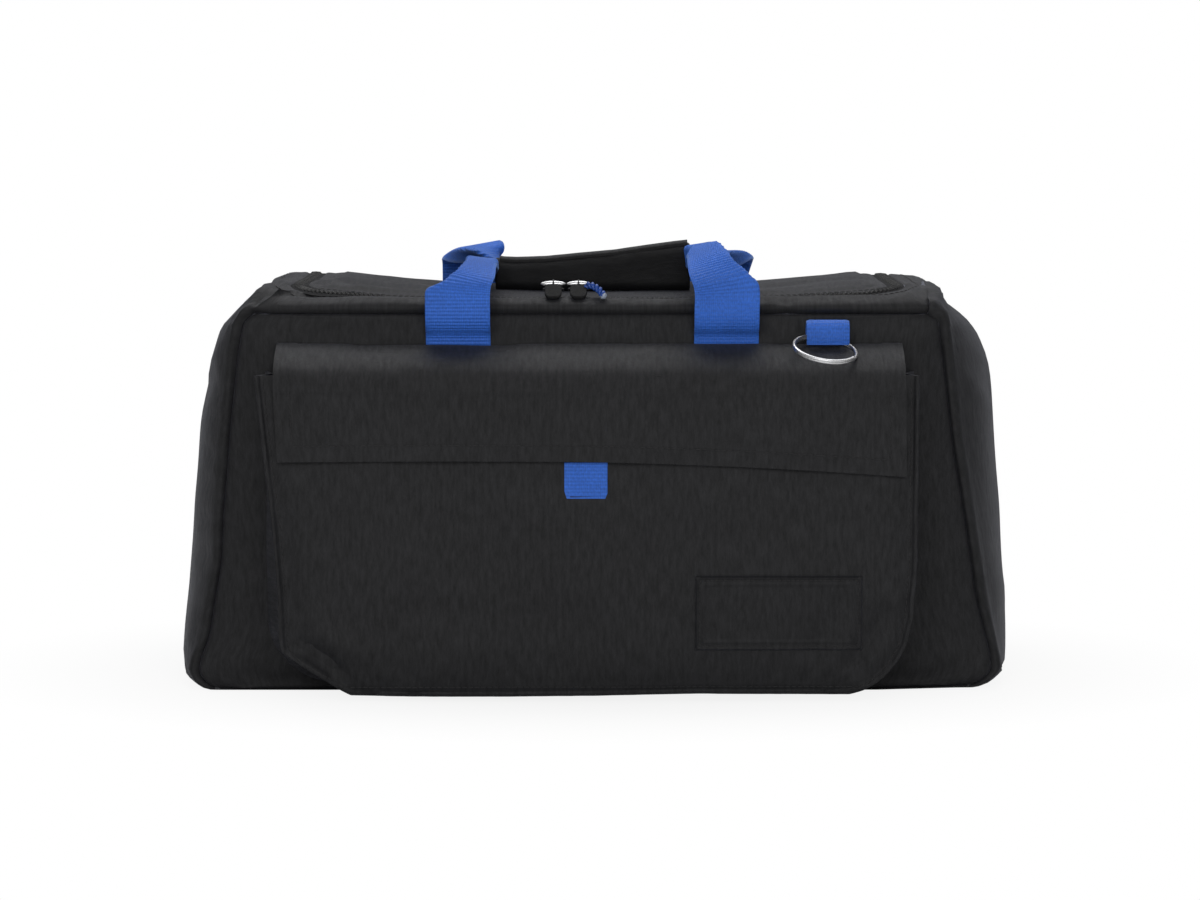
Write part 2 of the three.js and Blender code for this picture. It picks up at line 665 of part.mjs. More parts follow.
const patchHeights = steps(2, patchZ - patchHeight / 2, patchZ + patchHeight / 2);
add("patch", faceSheet(gap, gap + patchThickness, patchHeights, around(patchX, patchWidth)), blackNylon);

// the flap: a fixed slope sewn to the panel, then the part that lifts
const flapX = around(pocketCentreX, 2 * flapHalfWidth);
const flapTopZ = pocketTopZ - gap;
const flapHinge = [faceY(flapTopZ) - flapStandOff - webbing - gap, flapTopZ + gap];
const slopeEnd = [flapHinge[0] + gap, flapHinge[1] + gap];
const lipY = -panelFace - webbing - gap;
const lipOuterY = lipY - skin;
add("flap_top", prism([
  [lipY, flapSeamZ + gap], [lipOuterY, flapSeamZ + gap], [lipOuterY - 0.8 * flapLip, flapSeamZ - flapLip / 2],
  [slopeEnd[0], slopeEnd[1] + skin], slopeEnd, [slopeEnd[0] + flapLip, slopeEnd[1] + flapLip / 3],
  [lipY, flapSeamZ - flapLip],
], "x", ...flapX), blackNylon);
const flapHeights = steps(4, flapHemZ - flapHemTilt - 1, flapTopZ);
const hemLine = [[flapX[0], flapHemZ + flapHemTilt], [flapX[1], flapHemZ - flapHemTilt]];
const aboveHem = prism([...hemLine, [flapX[1], seamTopZ], [flapX[0], seamTopZ]], "y", -farOut, 0);
const flapSheet = faceSheet(flapStandOff, flapStandOff + webbing, flapHeights, flapX);
add("flap", common(flapSheet, aboveHem), blackNylon);
add("flap_hook_strip", faceSheet(flapStandOff - gap, flapStandOff - gap - fastenerThickness,
  fastenerHeights, fastenerSpan), blackNylon);
const tabHeights = [flapHemZ - tabDrop, flapHemZ + 4];
add("flap_tab", faceSheet(flapStandOff - 0.45, 0.45, tabHeights, around(tabX, tabWidth)), blueWebbing);

// ---------- key loop and split ring ----------

const loopCentreY = -panelFace - webbing - keyLoopRadius;
const arch = (radius) => steps(8, 0, 180).map((angle) => [
  loopCentreY + radius * Math.cos(angle * degrees), keyLoopZ + radius * Math.sin(angle * degrees)]);
const loopOuter = arch(keyLoopRadius + webbing);
const loopInner = arch(keyLoopRadius).reverse();
const loopFrontZ = flapSeamZ - flapLip;
const loopFootZ = loopFrontZ - keyLoopTail;
add("key_loop", prism([
  [loopOuter[0][0], loopFootZ], ...loopOuter, [loopOuter.at(-1)[0], loopFrontZ],
  [loopInner[0][0], loopFrontZ], ...loopInner, [loopInner.at(-1)[0], loopFootZ],
], "x", ...around(keyLoopX, keyLoopWidth)), blueWebbing);
const ringAxis = [loopCentreY + keyLoopRadius - ringWire - gap, keyLoopZ - keyLoopRadius / 2];
const flatRing = ring(ringRadius, ringWire, 32).translate(keyLoopX, ringAxis[0] - ringRadius, ringAxis[1]);
add("split_ring", tilted(flatRing, ringAxis, ringTilt), brightMetal);

// the origin is under the middle of the whole part
const bounds = new THREE.Box3().setFromObject(bag);
bag.position.y = -(bounds.min.y + bounds.max.y) / 2;
bag.updateMatrixWorld(true);

export default bag;
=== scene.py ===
import math

import bpy
import numpy as np
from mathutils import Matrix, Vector, noise
from mathutils.bvhtree import BVHTree


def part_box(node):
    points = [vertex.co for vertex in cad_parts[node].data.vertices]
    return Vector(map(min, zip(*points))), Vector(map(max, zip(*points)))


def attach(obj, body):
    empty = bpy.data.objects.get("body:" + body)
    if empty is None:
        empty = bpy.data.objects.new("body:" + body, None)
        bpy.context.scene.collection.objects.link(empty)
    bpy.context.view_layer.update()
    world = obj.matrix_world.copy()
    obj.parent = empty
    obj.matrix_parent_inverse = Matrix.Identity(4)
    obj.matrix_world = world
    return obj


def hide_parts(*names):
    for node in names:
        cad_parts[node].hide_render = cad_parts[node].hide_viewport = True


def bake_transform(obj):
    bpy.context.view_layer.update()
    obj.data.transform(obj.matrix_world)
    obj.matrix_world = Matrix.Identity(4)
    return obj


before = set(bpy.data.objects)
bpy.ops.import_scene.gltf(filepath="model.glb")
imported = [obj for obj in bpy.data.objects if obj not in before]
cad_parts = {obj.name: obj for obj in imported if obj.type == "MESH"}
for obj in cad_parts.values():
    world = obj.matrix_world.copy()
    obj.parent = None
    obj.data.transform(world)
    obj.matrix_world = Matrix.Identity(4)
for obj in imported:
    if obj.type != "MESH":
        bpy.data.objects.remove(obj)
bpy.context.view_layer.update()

# ---------------------------------------------------------------- the view
# The bag is seen from just above its lid, square to its front and from about two metres away,
# through a long lens. The camera is level from side to side and looks down a little.
eye = Vector((0.0032, -2.186, 0.361))
look_down = math.radians(5.925)
lens = bpy.data.cameras.new("camera")
lens.lens, lens.sensor_width = 107.0, 36.0
lens.clip_start, lens.clip_end = 0.05, 50.0
camera = bpy.data.objects.new("camera", lens)
camera.location = eye
camera.rotation_euler = (math.radians(90) - look_down, 0, 0)
bpy.context.scene.collection.objects.link(camera)
bpy.context.scene.camera = camera

# ---------------------------------------------------------------- black nylon body cloth
# Everything black on the outside is one coated nylon cloth, woven from coarse yarns that show as
# short upright streaks. Its finish follows each piece's own cut, so it runs the way the cloth does.
mm = 0.001
base_low, base_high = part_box("base_skin")
middle = Vector((0, (base_low.y + base_high.y) / 2, 0))


def math_node(tree, operation, a, b=None):
    node = tree.nodes.new("ShaderNodeMath")
    node.operation = operation
    for socket, value in zip(node.inputs, (a, b)):
        if value is None:
            continue
        if isinstance(value, (int, float)):
            socket.default_value = value
        else:
            tree.links.new(value, socket)
    return node.outputs[0]


def speckle(tree, vector, scale, detail=2.0, rough=0.5):
    node = tree.nodes.new("ShaderNodeTexNoise")
    node.inputs["Scale"].default_value = scale
    node.inputs["Detail"].default_value = detail
    node.inputs["Roughness"].default_value = rough
    tree.links.new(vector, node.inputs["Vector"])
    return node.outputs["Fac"]


def stretched(tree, vector, x, y, z=1.0):
    node = tree.nodes.new("ShaderNodeMapping")
    node.inputs["Scale"].default_value = (x, y, z)
    tree.links.new(vector, node.inputs["Vector"])
    return node.outputs["Vector"]


def ranged(tree, value, low, high, to_low, to_high):
    node = tree.nodes.new("ShaderNodeMapRange")
    for name, v in (("From Min", low), ("From Max", high), ("To Min", to_low), ("To Max", to_high)):
        node.inputs[name].default_value = v
    tree.links.new(value, node.inputs["Value"])
    return node.outputs["Result"]


def new_finish(name):
    finish = bpy.data.materials.new(name)
    finish.use_nodes = True
    tree = finish.node_tree
    shader = tree.nodes["Principled BSDF"]
    return finish, tree, shader


def cloth_place(tree):
    """Where a point lies on the flat cut cloth, in metres across and along it."""
    node = tree.nodes.new("ShaderNodeAttribute")
    node.attribute_name = "cloth"
    return node.outputs["Vector"]


def tinted(tree, shader, colour, shade):
    """colour, made lighter or darker by a value about 1."""
    node = tree.nodes.new("ShaderNodeMix")
    node.data_type, node.blend_type = "RGBA", "MULTIPLY"
    node.inputs["Factor"].default_value = 1.0
    node.inputs["A"].default_value = (*colour, 1)
    grey = tree.nodes.new("ShaderNodeCombineColor")
    for channel in grey.inputs:
        tree.links.new(shade, channel)
    tree.links.new(grey.outputs["Color"], node.inputs["B"])
    tree.links.new(node.outputs["Result"], shader.inputs["Base Color"])


def relief(tree, shader, height, strength, distance):
    node = tree.nodes.new("ShaderNodeBump")
    node.inputs["Strength"].default_value = strength
    node.inputs["Distance"].default_value = distance
    tree.links.new(height, node.inputs["Height"])
    tree.links.new(node.outputs["Normal"], shader.inputs["Normal"])


def woven(name, colour, yarn=0.0009, streak=0.35, sheen=0.3, rough=0.62, specular=0.35):
    """A plain-woven cloth: crossing yarns, slubs that run along the warp, and faint uneven dye."""
    finish, tree, shader = new_finish(name)
    place = cloth_place(tree)
    parts = tree.nodes.new("ShaderNodeSeparateXYZ")
    tree.links.new(place, parts.inputs["Vector"])
    turn = 2 * math.pi / yarn
    warp = math_node(tree, "SINE", math_node(tree, "MULTIPLY", parts.outputs["X"], turn))
    weft = math_node(tree, "SINE", math_node(tree, "MULTIPLY", parts.outputs["Y"], turn))
    weave = math_node(tree, "MULTIPLY", warp, weft)
    slubs = speckle(tree, stretched(tree, place, 420, 95), 1.0, 2.0, 0.6)  # 2.4 mm wide, 11 mm long
    fine = speckle(tree, stretched(tree, place, 1500, 420), 1.0, 1.0)  # single yarns
    dye = speckle(tree, place, 22, 3.0)  # blotches about 45 mm wide
    shade = math_node(tree, "ADD", ranged(tree, slubs, 0.3, 0.7, 1 - streak, 1 + streak),
                      ranged(tree, dye, 0.3, 0.7, -0.1, 0.1))
    shade = math_node(tree, "ADD", shade, ranged(tree, fine, 0.3, 0.7, -0.16, 0.16))
    tinted(tree, shader, colour, shade)
    height = math_node(tree, "ADD", math_node(tree, "MULTIPLY", weave, 0.35),
                       ranged(tree, slubs, 0.2, 0.8, 0, 1))
    height = math_node(tree, "ADD", height, ranged(tree, fine, 0.2, 0.8, 0, 0.5))
    relief(tree, shader, height, 0.5, 0.00025)
    tree.links.new(ranged(tree, slubs, 0.2, 0.8, rough + 0.08, rough - 0.08), shader.inputs["Roughness"])
    shader.inputs["Specular IOR Level"].default_value = specular
    shader.inputs["Sheen Weight"].default_value = sheen
    shader.inputs["Sheen Roughness"].default_value = 0.45
    shader.inputs["Sheen Tint"].default_value = (0.8, 0.83, 1.0, 1)
    return finish


nylon = woven("black_nylon", (0.0112, 0.0112, 0.0125), sheen=0.09, specular=0.26, rough=0.58)
foam_backing = woven("foam_backing", (0.05, 0.05, 0.053), yarn=0.0016, streak=0.2, sheen=0.5, rough=0.9)


def placed(points):
    """Points of the bag in millimetres from its middle, as metres in the row frame."""
    return np.asarray(points, float) * mm + np.array(middle)


def new_piece(name, points, faces, finishes, cloth=None, sharp=50):
    """A mesh from points in the bag's millimetres. cloth holds each point's place on the flat cut, and
    edges that turn by more than sharp degrees stay crisp."""
    mesh = bpy.data.meshes.new(name)
    mesh.from_pydata(placed(points).tolist(), [], [list(map(int, f)) for f in faces])
    if cloth is not None:
        cut = np.zeros((len(points), 3), np.float32)
        cut[:, :2] = np.asarray(cloth, float)[:, :2] * mm
        mesh.attributes.new("cloth", "FLOAT_VECTOR", "POINT").data.foreach_set("vector", cut.ravel())
    for finish in finishes:
        mesh.materials.append(finish)
    mesh.validate()
    mesh.polygons.foreach_set("use_smooth", [True] * len(mesh.polygons))
    mesh.update()
    mesh.set_sharp_from_angle(angle=math.radians(sharp))
    piece = bpy.data.objects.new(name, mesh)
    bpy.context.scene.collection.objects.link(piece)
    return piece


def fixed(piece, body, slot, *nodes):
    """piece rides on a body and stands for these nodes, which are hidden. slot is not used."""
    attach(piece, body)
    if nodes:
        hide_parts(*nodes)
    return piece


def grid_faces(rows, columns, start=0, closed=False):
    faces = []
    last = columns if closed else columns - 1
    for i in range(rows - 1):
        for j in range(last):
            k = (j + 1) % columns
            faces.append((start + i * columns + j, start + i * columns + k,
                          start + (i + 1) * columns + k, start + (i + 1) * columns + j))
    return faces


# ---------------------------------------------------------------- gusset: both ends and the rim round the lid
# One padded strip of nylon over foam goes up each end, over the shoulders and round the lid. It is
# sewn to the front and rear panels in a deep seam, and swells out between the two.
half_depth = 105.0
seam_top = 225.0
base_half, top_half = 235.5, 206.0
base_corner = 12.0
seam_corner = 9.0
shoulder = (27.0, 36.0)  # width and height of the top corner at mid-depth
swells = (20.5, 26.0)  # of the base and of the top, past the seams
crown_height = 13.0
padding = 10.2  # cloth and foam together
seam_sink = 3.4  # how far a sewn edge is drawn in
seam_turn = 1.6  # how far the cloth rolls over into the seam
outline_rows = (7, 26, 14)  # round the base corner, up the wall and over the shoulder
end_cut, rim_cut = 900.0, 500.0  # where the ends and the rim start on the cut strip


def across_depth(y):
    """How full the strip is at a depth: 0 at the sewn edges, 1 at the middle."""
    return np.maximum(0, 1 - np.abs(y / half_depth) ** 2.6) ** 0.6


def drawn_in(y):
    return np.exp(-swells[0] * across_depth(y) / seam_turn)


def crown(y):
    return seam_top + crown_height * np.sqrt(np.maximum(0, 1 - np.abs(y / half_depth) ** 5))


def sideways(line):
    """The way out to the right of a line in its own plane, at each of its points."""
    step = np.gradient(line, axis=0)
    way = np.stack([step[:, 1], -step[:, 0]], 1)
    return way / np.linalg.norm(way, axis=1)[:, None]


def end_outline(y, inset=0.0):
    """The right-hand end's outline at a depth, from under the base to the top's edge."""
    full = across_depth(y)
    base, top = base_half + swells[0] * full, top_half + swells[1] * full
    wide = seam_corner + (shoulder[0] - seam_corner) * full
    high = seam_corner + (shoulder[1] - seam_corner) * full
    turn = np.linspace(-90, 0, outline_rows[0]) * math.pi / 180
    low_arc = np.stack([base - base_corner + base_corner * np.cos(turn),
                        base_corner + base_corner * np.sin(turn)], 1)
    level = crown(y) - high
    share = np.linspace(0, 1, outline_rows[1] + 2)[1:-1]
    wall = np.stack([base + (top - base) * share, base_corner + (level - base_corner) * share], 1)
    turn = np.linspace(0, 90, outline_rows[2]) * math.pi / 180
    high_arc = np.stack([top - wide + wide * np.cos(turn), level + high * np.sin(turn)], 1)
    line = np.concatenate([low_arc, wall, high_arc])
    way = sideways(line)
    way[0], way[-1] = (0, -1), (0, 1)
    return line - way * inset


edge_turns = np.array([0, 0.02, 0.045, 0.075, 0.11, 0.15, 0.2, 0.27, 0.36, 0.46])
edge_depths = -half_depth * np.cos(edge_turns) ** (2 / 2.6)
hinge_y = 92.0
depth_rows = np.concatenate([edge_depths, np.linspace(-hinge_y, hinge_y, 27), -edge_depths[::-1]])
inner_limit = 94.3  # the padding of the ends stops at that of the panels


def sewn_y(y):
    return y - np.sign(y) * seam_sink * drawn_in(y)


def smooth_through(points, per_span):
    """A smooth line through points of any size."""
    p = np.asarray(points, float)
    p = np.concatenate([[2 * p[0] - p[1]], p, [2 * p[-1] - p[-2]]])
    out = []
    for i in range(1, len(p) - 2):
        for t in np.linspace(0, 1, per_span, endpoint=False):
            out.append(0.5 * (2 * p[i] + (p[i + 1] - p[i - 1]) * t
                              + (2 * p[i - 1] - 5 * p[i] + 4 * p[i + 1] - p[i + 2]) * t**2
                              + (3 * p[i] - p[i - 1] - 3 * p[i + 1] + p[i + 2]) * t**3))
    out.append(p[-2])
    return np.array(out)


# How far the filled bag's ends stand out from the even shape, in x, at heights up each end: at
# mid-depth and along the front seam, on the left and on the right.
ends_out = {
    -1: ((0, -9.5, 6, -8.8, 12, -7.8, 28, -5.4, 43, -4.4, 63, -3.9, 90, -2.9, 116, -1.4, 153, 0.2,
          177, -1.4, 200, -3.6, 214, -9.5, 223, -20, 231, -20.5, 239, -10),
         (0, 0.5, 8, 4, 18, 4, 32, -0.5, 55, -1.5, 77, -2.4, 99, 0, 127, 1.7, 150, 3, 179, 5,
          209, 7, 225, 8)),
    1: ((0, -5, 6, -3.9, 12, -2.2, 28, 0.6, 43, 2.3, 63, 4.2, 95, 5.8, 127, 7.6, 177, 11.1, 199, 8.6,
         214, 1.2, 223, -6.2, 231, -10.4, 239, -4.5),
        (0, -2, 8, 2.5, 18, 4, 35, 1.5, 57, -1.9, 82, -2.4, 111, -3.4, 143, -5.2, 180, -5.0,
         207, -2.8, 225, 1.5)),
}
# How far the top has sunk between its filled-out shoulders, at distances from the bag's middle.
top_sag = {
    -1: (0, -7.5, 70, -7.5, 108, -6.2, 123, -5.4, 138, -3.4, 153, -1.4, 166, 0.4, 180, 1.9, 198, 1.9,
         212, 0.5, 232, 0),
    1: (0, -7.5, 70, -7.5, 100, -5.8, 118, -4.6, 133, -3.2, 150, -2.2, 163, -0.8, 174, 0.8, 188, 1.0,
        203, 0, 232, 0),
}
# The share of that sag at each depth: the front and rear seams hold the top up.
sag_depths = (-105, 0, -94, 0.06, -88, 0.4, -80, 0.6, -70, 0.8, -55, 1, 60, 1, 78, 0.95, 92, 0.7, 105, 0)


def read_off(places, table):
    """Values at places along a smooth line through a table's pairs."""
    line = smooth_through(np.array(table, float).reshape(-1, 2), 8)
    return np.interp(places, line[:, 0], line[:, 1])


def eased(share):
    """A share from 0 to 1, with a soft start and a soft end."""
    return share * share * (3 - 2 * share)


def filled(points):
    """The sewn shape as it stands when the bag is filled, with each end's own slack."""
    x, y, z = points[..., 0], points[..., 1], points[..., 2]
    full = across_depth(np.clip(y, -half_depth, half_depth))
    reach = eased(np.clip((np.abs(x) - 120) / 80, 0, 1))  # the middle of the bag stays as sewn
    shift = np.zeros(x.shape)
    for side, (middle_out, seam_out) in ends_out.items():
        at_middle = read_off(z, middle_out)
        at_seam = read_off(z, seam_out) * np.where(y < 0, 1, 0.4)
        shift += side * (np.sign(x) == side) * (at_middle * full + at_seam * (1 - full))
    sunk = np.where(x < 0, read_off(np.abs(x), top_sag[-1]), read_off(np.abs(x), top_sag[1]))
    sunk *= read_off(y, sag_depths) * np.clip((z - 200) / 22, 0, 1)
    low = np.clip(1 - z / 50, 0, 1) ** 2
    foot_out = 6 * low * np.clip((-60 - y) / 40, 0, 1)  # the front's foot is pushed forward
    seam_down = 1.3 * np.exp(-z / 5) * (1 - full) * (z > 0)  # and the base's seam rests on the floor
    corner_up = 2.2 * low * np.clip((x - 140) / 80, 0, 1) * np.clip((-30 - y) / 60, 0, 1)
    return np.stack([x + shift * reach, y - foot_out, z + sunk - seam_down + corner_up], -1)


def arc_lengths(points):
    return np.concatenate([[0], np.cumsum(np.linalg.norm(np.diff(points, axis=0), axis=1))])


half_way_up = 20  # the outline's row from which the cut is measured, so that the yarns run straight


def end_patch(side):
    outer, inner, cut = [], [], []
    for y in depth_rows:
        line = end_outline(y, seam_turn * drawn_in(y))
        back = end_outline(np.clip(y, -inner_limit, inner_limit), padding)
        outer.append([(side * x, sewn_y(y), z) for x, z in line])
        inner.append([(side * x, np.clip(y, -inner_limit, inner_limit), z) for x, z in back])
        along = arc_lengths(line)
        cut.append([(y, a - along[half_way_up] + end_cut) for a in along])
    return np.array(outer), np.array(inner), np.array(cut)


def top_edge_x(y):
    full = across_depth(y)
    return top_half + swells[1] * full - (seam_corner + (shoulder[0] - seam_corner) * full)


zip_half, zip_front, zip_corner = 186.0, -84.0, 22.0
cloth_edge = 5.9  # from the zip's middle to the cloth on either side


def on_top(x, y):
    """Points of the rim on the crown, outer and inner, for places in the plan."""
    x, y = np.asarray(x, float), np.asarray(y, float)
    held = np.clip(y, -inner_limit, inner_limit)
    outer = np.stack([x, sewn_y(y), crown(y) - seam_turn * drawn_in(y)], -1)
    inner = np.stack([x, held, crown(held) - padding], -1)
    cut = np.stack([x + rim_cut, y], -1)
    return outer, inner, cut


def zip_corner_path(offset, angle):
    """A point on the zip's right front corner, 0 at the side and 90 at the front."""
    half, front, radius = zip_half + offset, zip_front - offset, zip_corner + offset
    a = math.radians(angle)
    return half - radius + radius * math.cos(a), front + radius - radius * math.sin(a)


def rim_patches():
    """The rim in front of the lid and at both its ends, and the strip behind the hinge."""
    half, front, radius = zip_half + cloth_edge, zip_front - cloth_edge, zip_corner + cloth_edge
    inner_path, outer_path = [], []
    side_rows = depth_rows[depth_rows <= hinge_y + 1e-6][::-1]
    corner_start = front + radius
    for y in side_rows:
        outer_path.append((top_edge_x(y), y))
        if y >= corner_start:
            inner_path.append((half, y))
        else:
            turned = (corner_start - y) / (corner_start + half_depth)
            inner_path.append(zip_corner_path(cloth_edge, 45 * turned))
    corner_x, reach = half - radius, top_edge_x(-half_depth)
    for x in np.linspace(reach, -reach, 53)[1:-1]:
        outer_path.append((x, -half_depth))
        if abs(x) <= corner_x:
            inner_path.append((x, front))
        else:
            turned = (reach - abs(x)) / (reach - corner_x)
            px, py = zip_corner_path(cloth_edge, 45 + 45 * turned)
            inner_path.append((math.copysign(px, x), py))
    count = len(side_rows)
    outer_path += [(-x, y) for x, y in outer_path[:count][::-1]]
    inner_path += [(-x, y) for x, y in inner_path[:count][::-1]]
    ring_y = np.array([front, front - 0.7, front - 1.9, front - 3.6, *edge_depths[::-1]])
    shares = (ring_y - front) / (-half_depth - front)
    a, b = np.array(inner_path), np.array(outer_path)
    plan = np.array([a * (1 - s) + b * s for s in shares])
    outer, inner, cut = on_top(plan[..., 0], plan[..., 1])
    outer[0, :, 2] -= 0.9  # its edge along the zip is turned under
    outer[1, :, 2] -= 0.25
    row_x = list(plan[::-1, 0, 0]) + list(np.linspace(half, -half, 49)[1:-1]) + list(plan[:, -1, 0])
    rear_rows = depth_rows[depth_rows >= hinge_y - 1e-6]
    strip_x = np.array([np.array(row_x) * top_edge_x(y) / top_edge_x(hinge_y) for y in rear_rows])
    strip_y = np.repeat(rear_rows[:, None], len(row_x), 1)
    return [(outer, inner, cut), on_top(strip_x, strip_y)]


def joined(patches):
    """Patches as one surface: outer points, inner points, places on the cut, and faces."""
    seen, outer, inner, cut, faces = {}, [], [], [], []
    for front, back, place in patches:
        rows, columns = front.shape[:2]
        index = np.zeros((rows, columns), int)
        for i in range(rows):
            for j in range(columns):
                key = tuple(np.round(front[i, j], 2))
                if key not in seen:
                    seen[key] = len(outer)
                    outer.append(front[i, j])
                    inner.append(back[i, j])
                    cut.append(place[i, j])
                index[i, j] = seen[key]
        for i in range(rows - 1):
            for j in range(columns - 1):
                face = list(dict.fromkeys(
                    [index[i, j], index[i, j + 1], index[i + 1, j + 1], index[i + 1, j]]))
                if len(face) > 2:
                    faces.append(face)
    return np.array(outer), np.array(inner), np.array(cut), faces


def surface_normals(points, faces):
    normals = np.zeros_like(points)
    for face in map(list, faces):
        p = points[face]
        normals[face] += np.cross(p[2] - p[0], p[-1] - p[1])
    return normals / np.maximum(np.linalg.norm(normals, axis=1), 1e-9)[:, None]


def border_of(faces):
    """The edges that only one face uses, each the way round that its face has it."""
    once = {}
    for face in faces:
        for a, b in zip(face, face[1:] + face[:1]):
            if (b, a) in once:
                del once[(b, a)]
            else:
                once[(a, b)] = True
    return list(once)


def wander(points, size, seed):
    """A slow, seeded random value from about -1 to 1 at each point."""
    shift = Vector((seed * 17.3, seed * 5.1, seed * 9.7))
    return np.array([noise.noise(Vector(p) / size + shift) for p in points]) * 1.6


settling_size = 10  # the cloth is settled at ten times its size, where the solver is steady


def cloth_settled(points, faces, held, slack, push, cap, steps=18):
    """The outer cloth after it has been blown out between its sewn edges, moved at most cap. It is
    cut larger by slack, and stays put where held is 1."""
    mesh = bpy.data.meshes.new("settling")
    mesh.from_pydata((np.asarray(points) * mm * settling_size).tolist(), [],
                     [list(map(int, f)) for f in faces])
    mesh.update()
    piece = bpy.data.objects.new("settling", mesh)
    bpy.context.scene.collection.objects.link(piece)
    group = piece.vertex_groups.new(name="held")
    for strength in np.unique(np.round(held, 2)):
        group.add([int(i) for i in np.flatnonzero(np.round(held, 2) == strength)], float(strength), "REPLACE")
    modifier = piece.modifiers.new("cloth", "CLOTH")
    settings = modifier.settings
    settings.quality = 6
    settings.mass = 0.3
    settings.tension_stiffness = settings.compression_stiffness = 40
    settings.shear_stiffness = 12
    settings.bending_stiffness = 1.5
    settings.air_damping = 4
    settings.vertex_group_mass = "held"
    settings.pin_stiffness = 30
    settings.shrink_min = -slack
    settings.use_pressure = True
    settings.uniform_pressure_force = push
    settings.effector_weights.gravity = 0
    modifier.collision_settings.use_collision = False
    modifier.point_cache.frame_start, modifier.point_cache.frame_end = 1, steps
    scene = bpy.context.scene
    for step in range(1, steps + 1):
        scene.frame_set(step)
    shaped = piece.evaluated_get(bpy.context.evaluated_depsgraph_get())
    moved = np.array([v.co for v in shaped.data.vertices]) / (mm * settling_size)
    bpy.data.objects.remove(piece)
    scene.frame_set(1)
    shift = moved - points
    length = np.maximum(np.linalg.norm(shift, axis=1), 1e-9)
    limit = cap * np.tanh(length / cap)
    return points + shift * (limit / length * (1 - held))[:, None]


def nearest(points, edge):
    """How far each point is from the nearest of the edge's points."""
    gaps = [np.sqrt(((edge - p) ** 2).sum(1).min()) for p in points.reshape(-1, points.shape[-1])]
    return np.array(gaps).reshape(points.shape[:-1])


sides_of_bag = {
    "top": ((0, 1), lambda p: p[:, 2] > 200),
    "left": ((1, 2), lambda p: p[:, 0] < -185),
    "right": ((1, 2), lambda p: p[:, 0] > 185),
    "front": ((0, 2), lambda p: p[:, 1] < -90),
}


def fold(points, normals, side, line, width, height, ends=14.0):
    """Raises, or sinks, the cloth along a line drawn on one side of the bag."""
    axes, belongs = sides_of_bag[side]
    line, flat = np.asarray(line, float), points[:, axes]
    along = arc_lengths(line)
    best, where = np.full(len(points), 1e9), np.zeros(len(points))
    for a, b, start in zip(line, line[1:], along):
        step = b - a
        size = np.linalg.norm(step)
        t = np.clip((flat - a) @ step / size**2, 0, 1)
        far = np.linalg.norm(flat - (a + t[:, None] * step), axis=1)
        where = np.where(far < best, start + t * size, where)
        best = np.minimum(best, far)
    fade = eased(np.clip(np.minimum(where, along[-1] - where) / min(ends, along[-1] / 2.5), 0, 1))
    return points + normals * (height * fade * belongs(points) * np.exp(-((best / width) ** 2)))[:, None]


sewn_edge, sewn_fade = 2.0, 10.0  # a seam holds the cloth this far in, and lets go over this width
slack_start = 9.0  # unevenness grows from nothing at a seam over this distance
bump_gap, pucker_gap = 46, 7.5  # between the cloth's slow swells, and between a seam's puckers


def pad(name, patches, finishes, swell=0.5, folds=(), settle=None, pucker=0.3, backing=1, shape=None):
    """A closed padded piece: cloth outside, its backing inside, and a wall between their borders.
    swell and pucker are the heights of its unevenness away from its seams and along them."""
    outer, inner, cut, faces = joined(patches)
    if shape:
        outer, inner = shape(outer), shape(inner)
    normals = surface_normals(outer, faces)
    if ((inner - outer) * normals).sum() > 0:
        faces = [f[::-1] for f in faces]
        normals = -normals
    border = border_of(faces)
    distance = nearest(outer, outer[sorted({i for edge in border for i in edge})])
    if settle:
        held = np.clip(1 - (distance - sewn_edge) / sewn_fade, 0, 1)
        outer = cloth_settled(outer, faces, held, *settle)
        normals = surface_normals(outer, faces)
    loose = 1 - np.exp(-distance / slack_start)
    outer = outer + normals * (swell * loose * wander(outer, bump_gap, 1))[:, None]
    if pucker:
        beside_seam = np.exp(-distance / 7) * (1 - np.exp(-distance / 1.5))
        outer = outer + normals * (pucker * wander(outer, pucker_gap, 3) * beside_seam)[:, None]
    for side, line, width, height in folds:
        outer = fold(outer, normals, side, smooth_through(line, 5), width, height)
    outer[:, 2] = np.maximum(outer[:, 2], 0)  # the floor
    count = len(outer)
    points = np.concatenate([outer, inner])
    walls = [(b, a, a + count, b + count) for a, b in border]
    backs = [[i + count for i in face[::-1]] for face in faces]
    piece = new_piece(name, points, faces + backs + walls, finishes, np.concatenate([cut, cut]), sharp=75)
    slots = [0] * len(faces) + [backing] * len(backs) + [backing] * len(walls)
    if len(piece.data.polygons) == len(slots):
        piece.data.polygons.foreach_set("material_index", slots)
    return piece


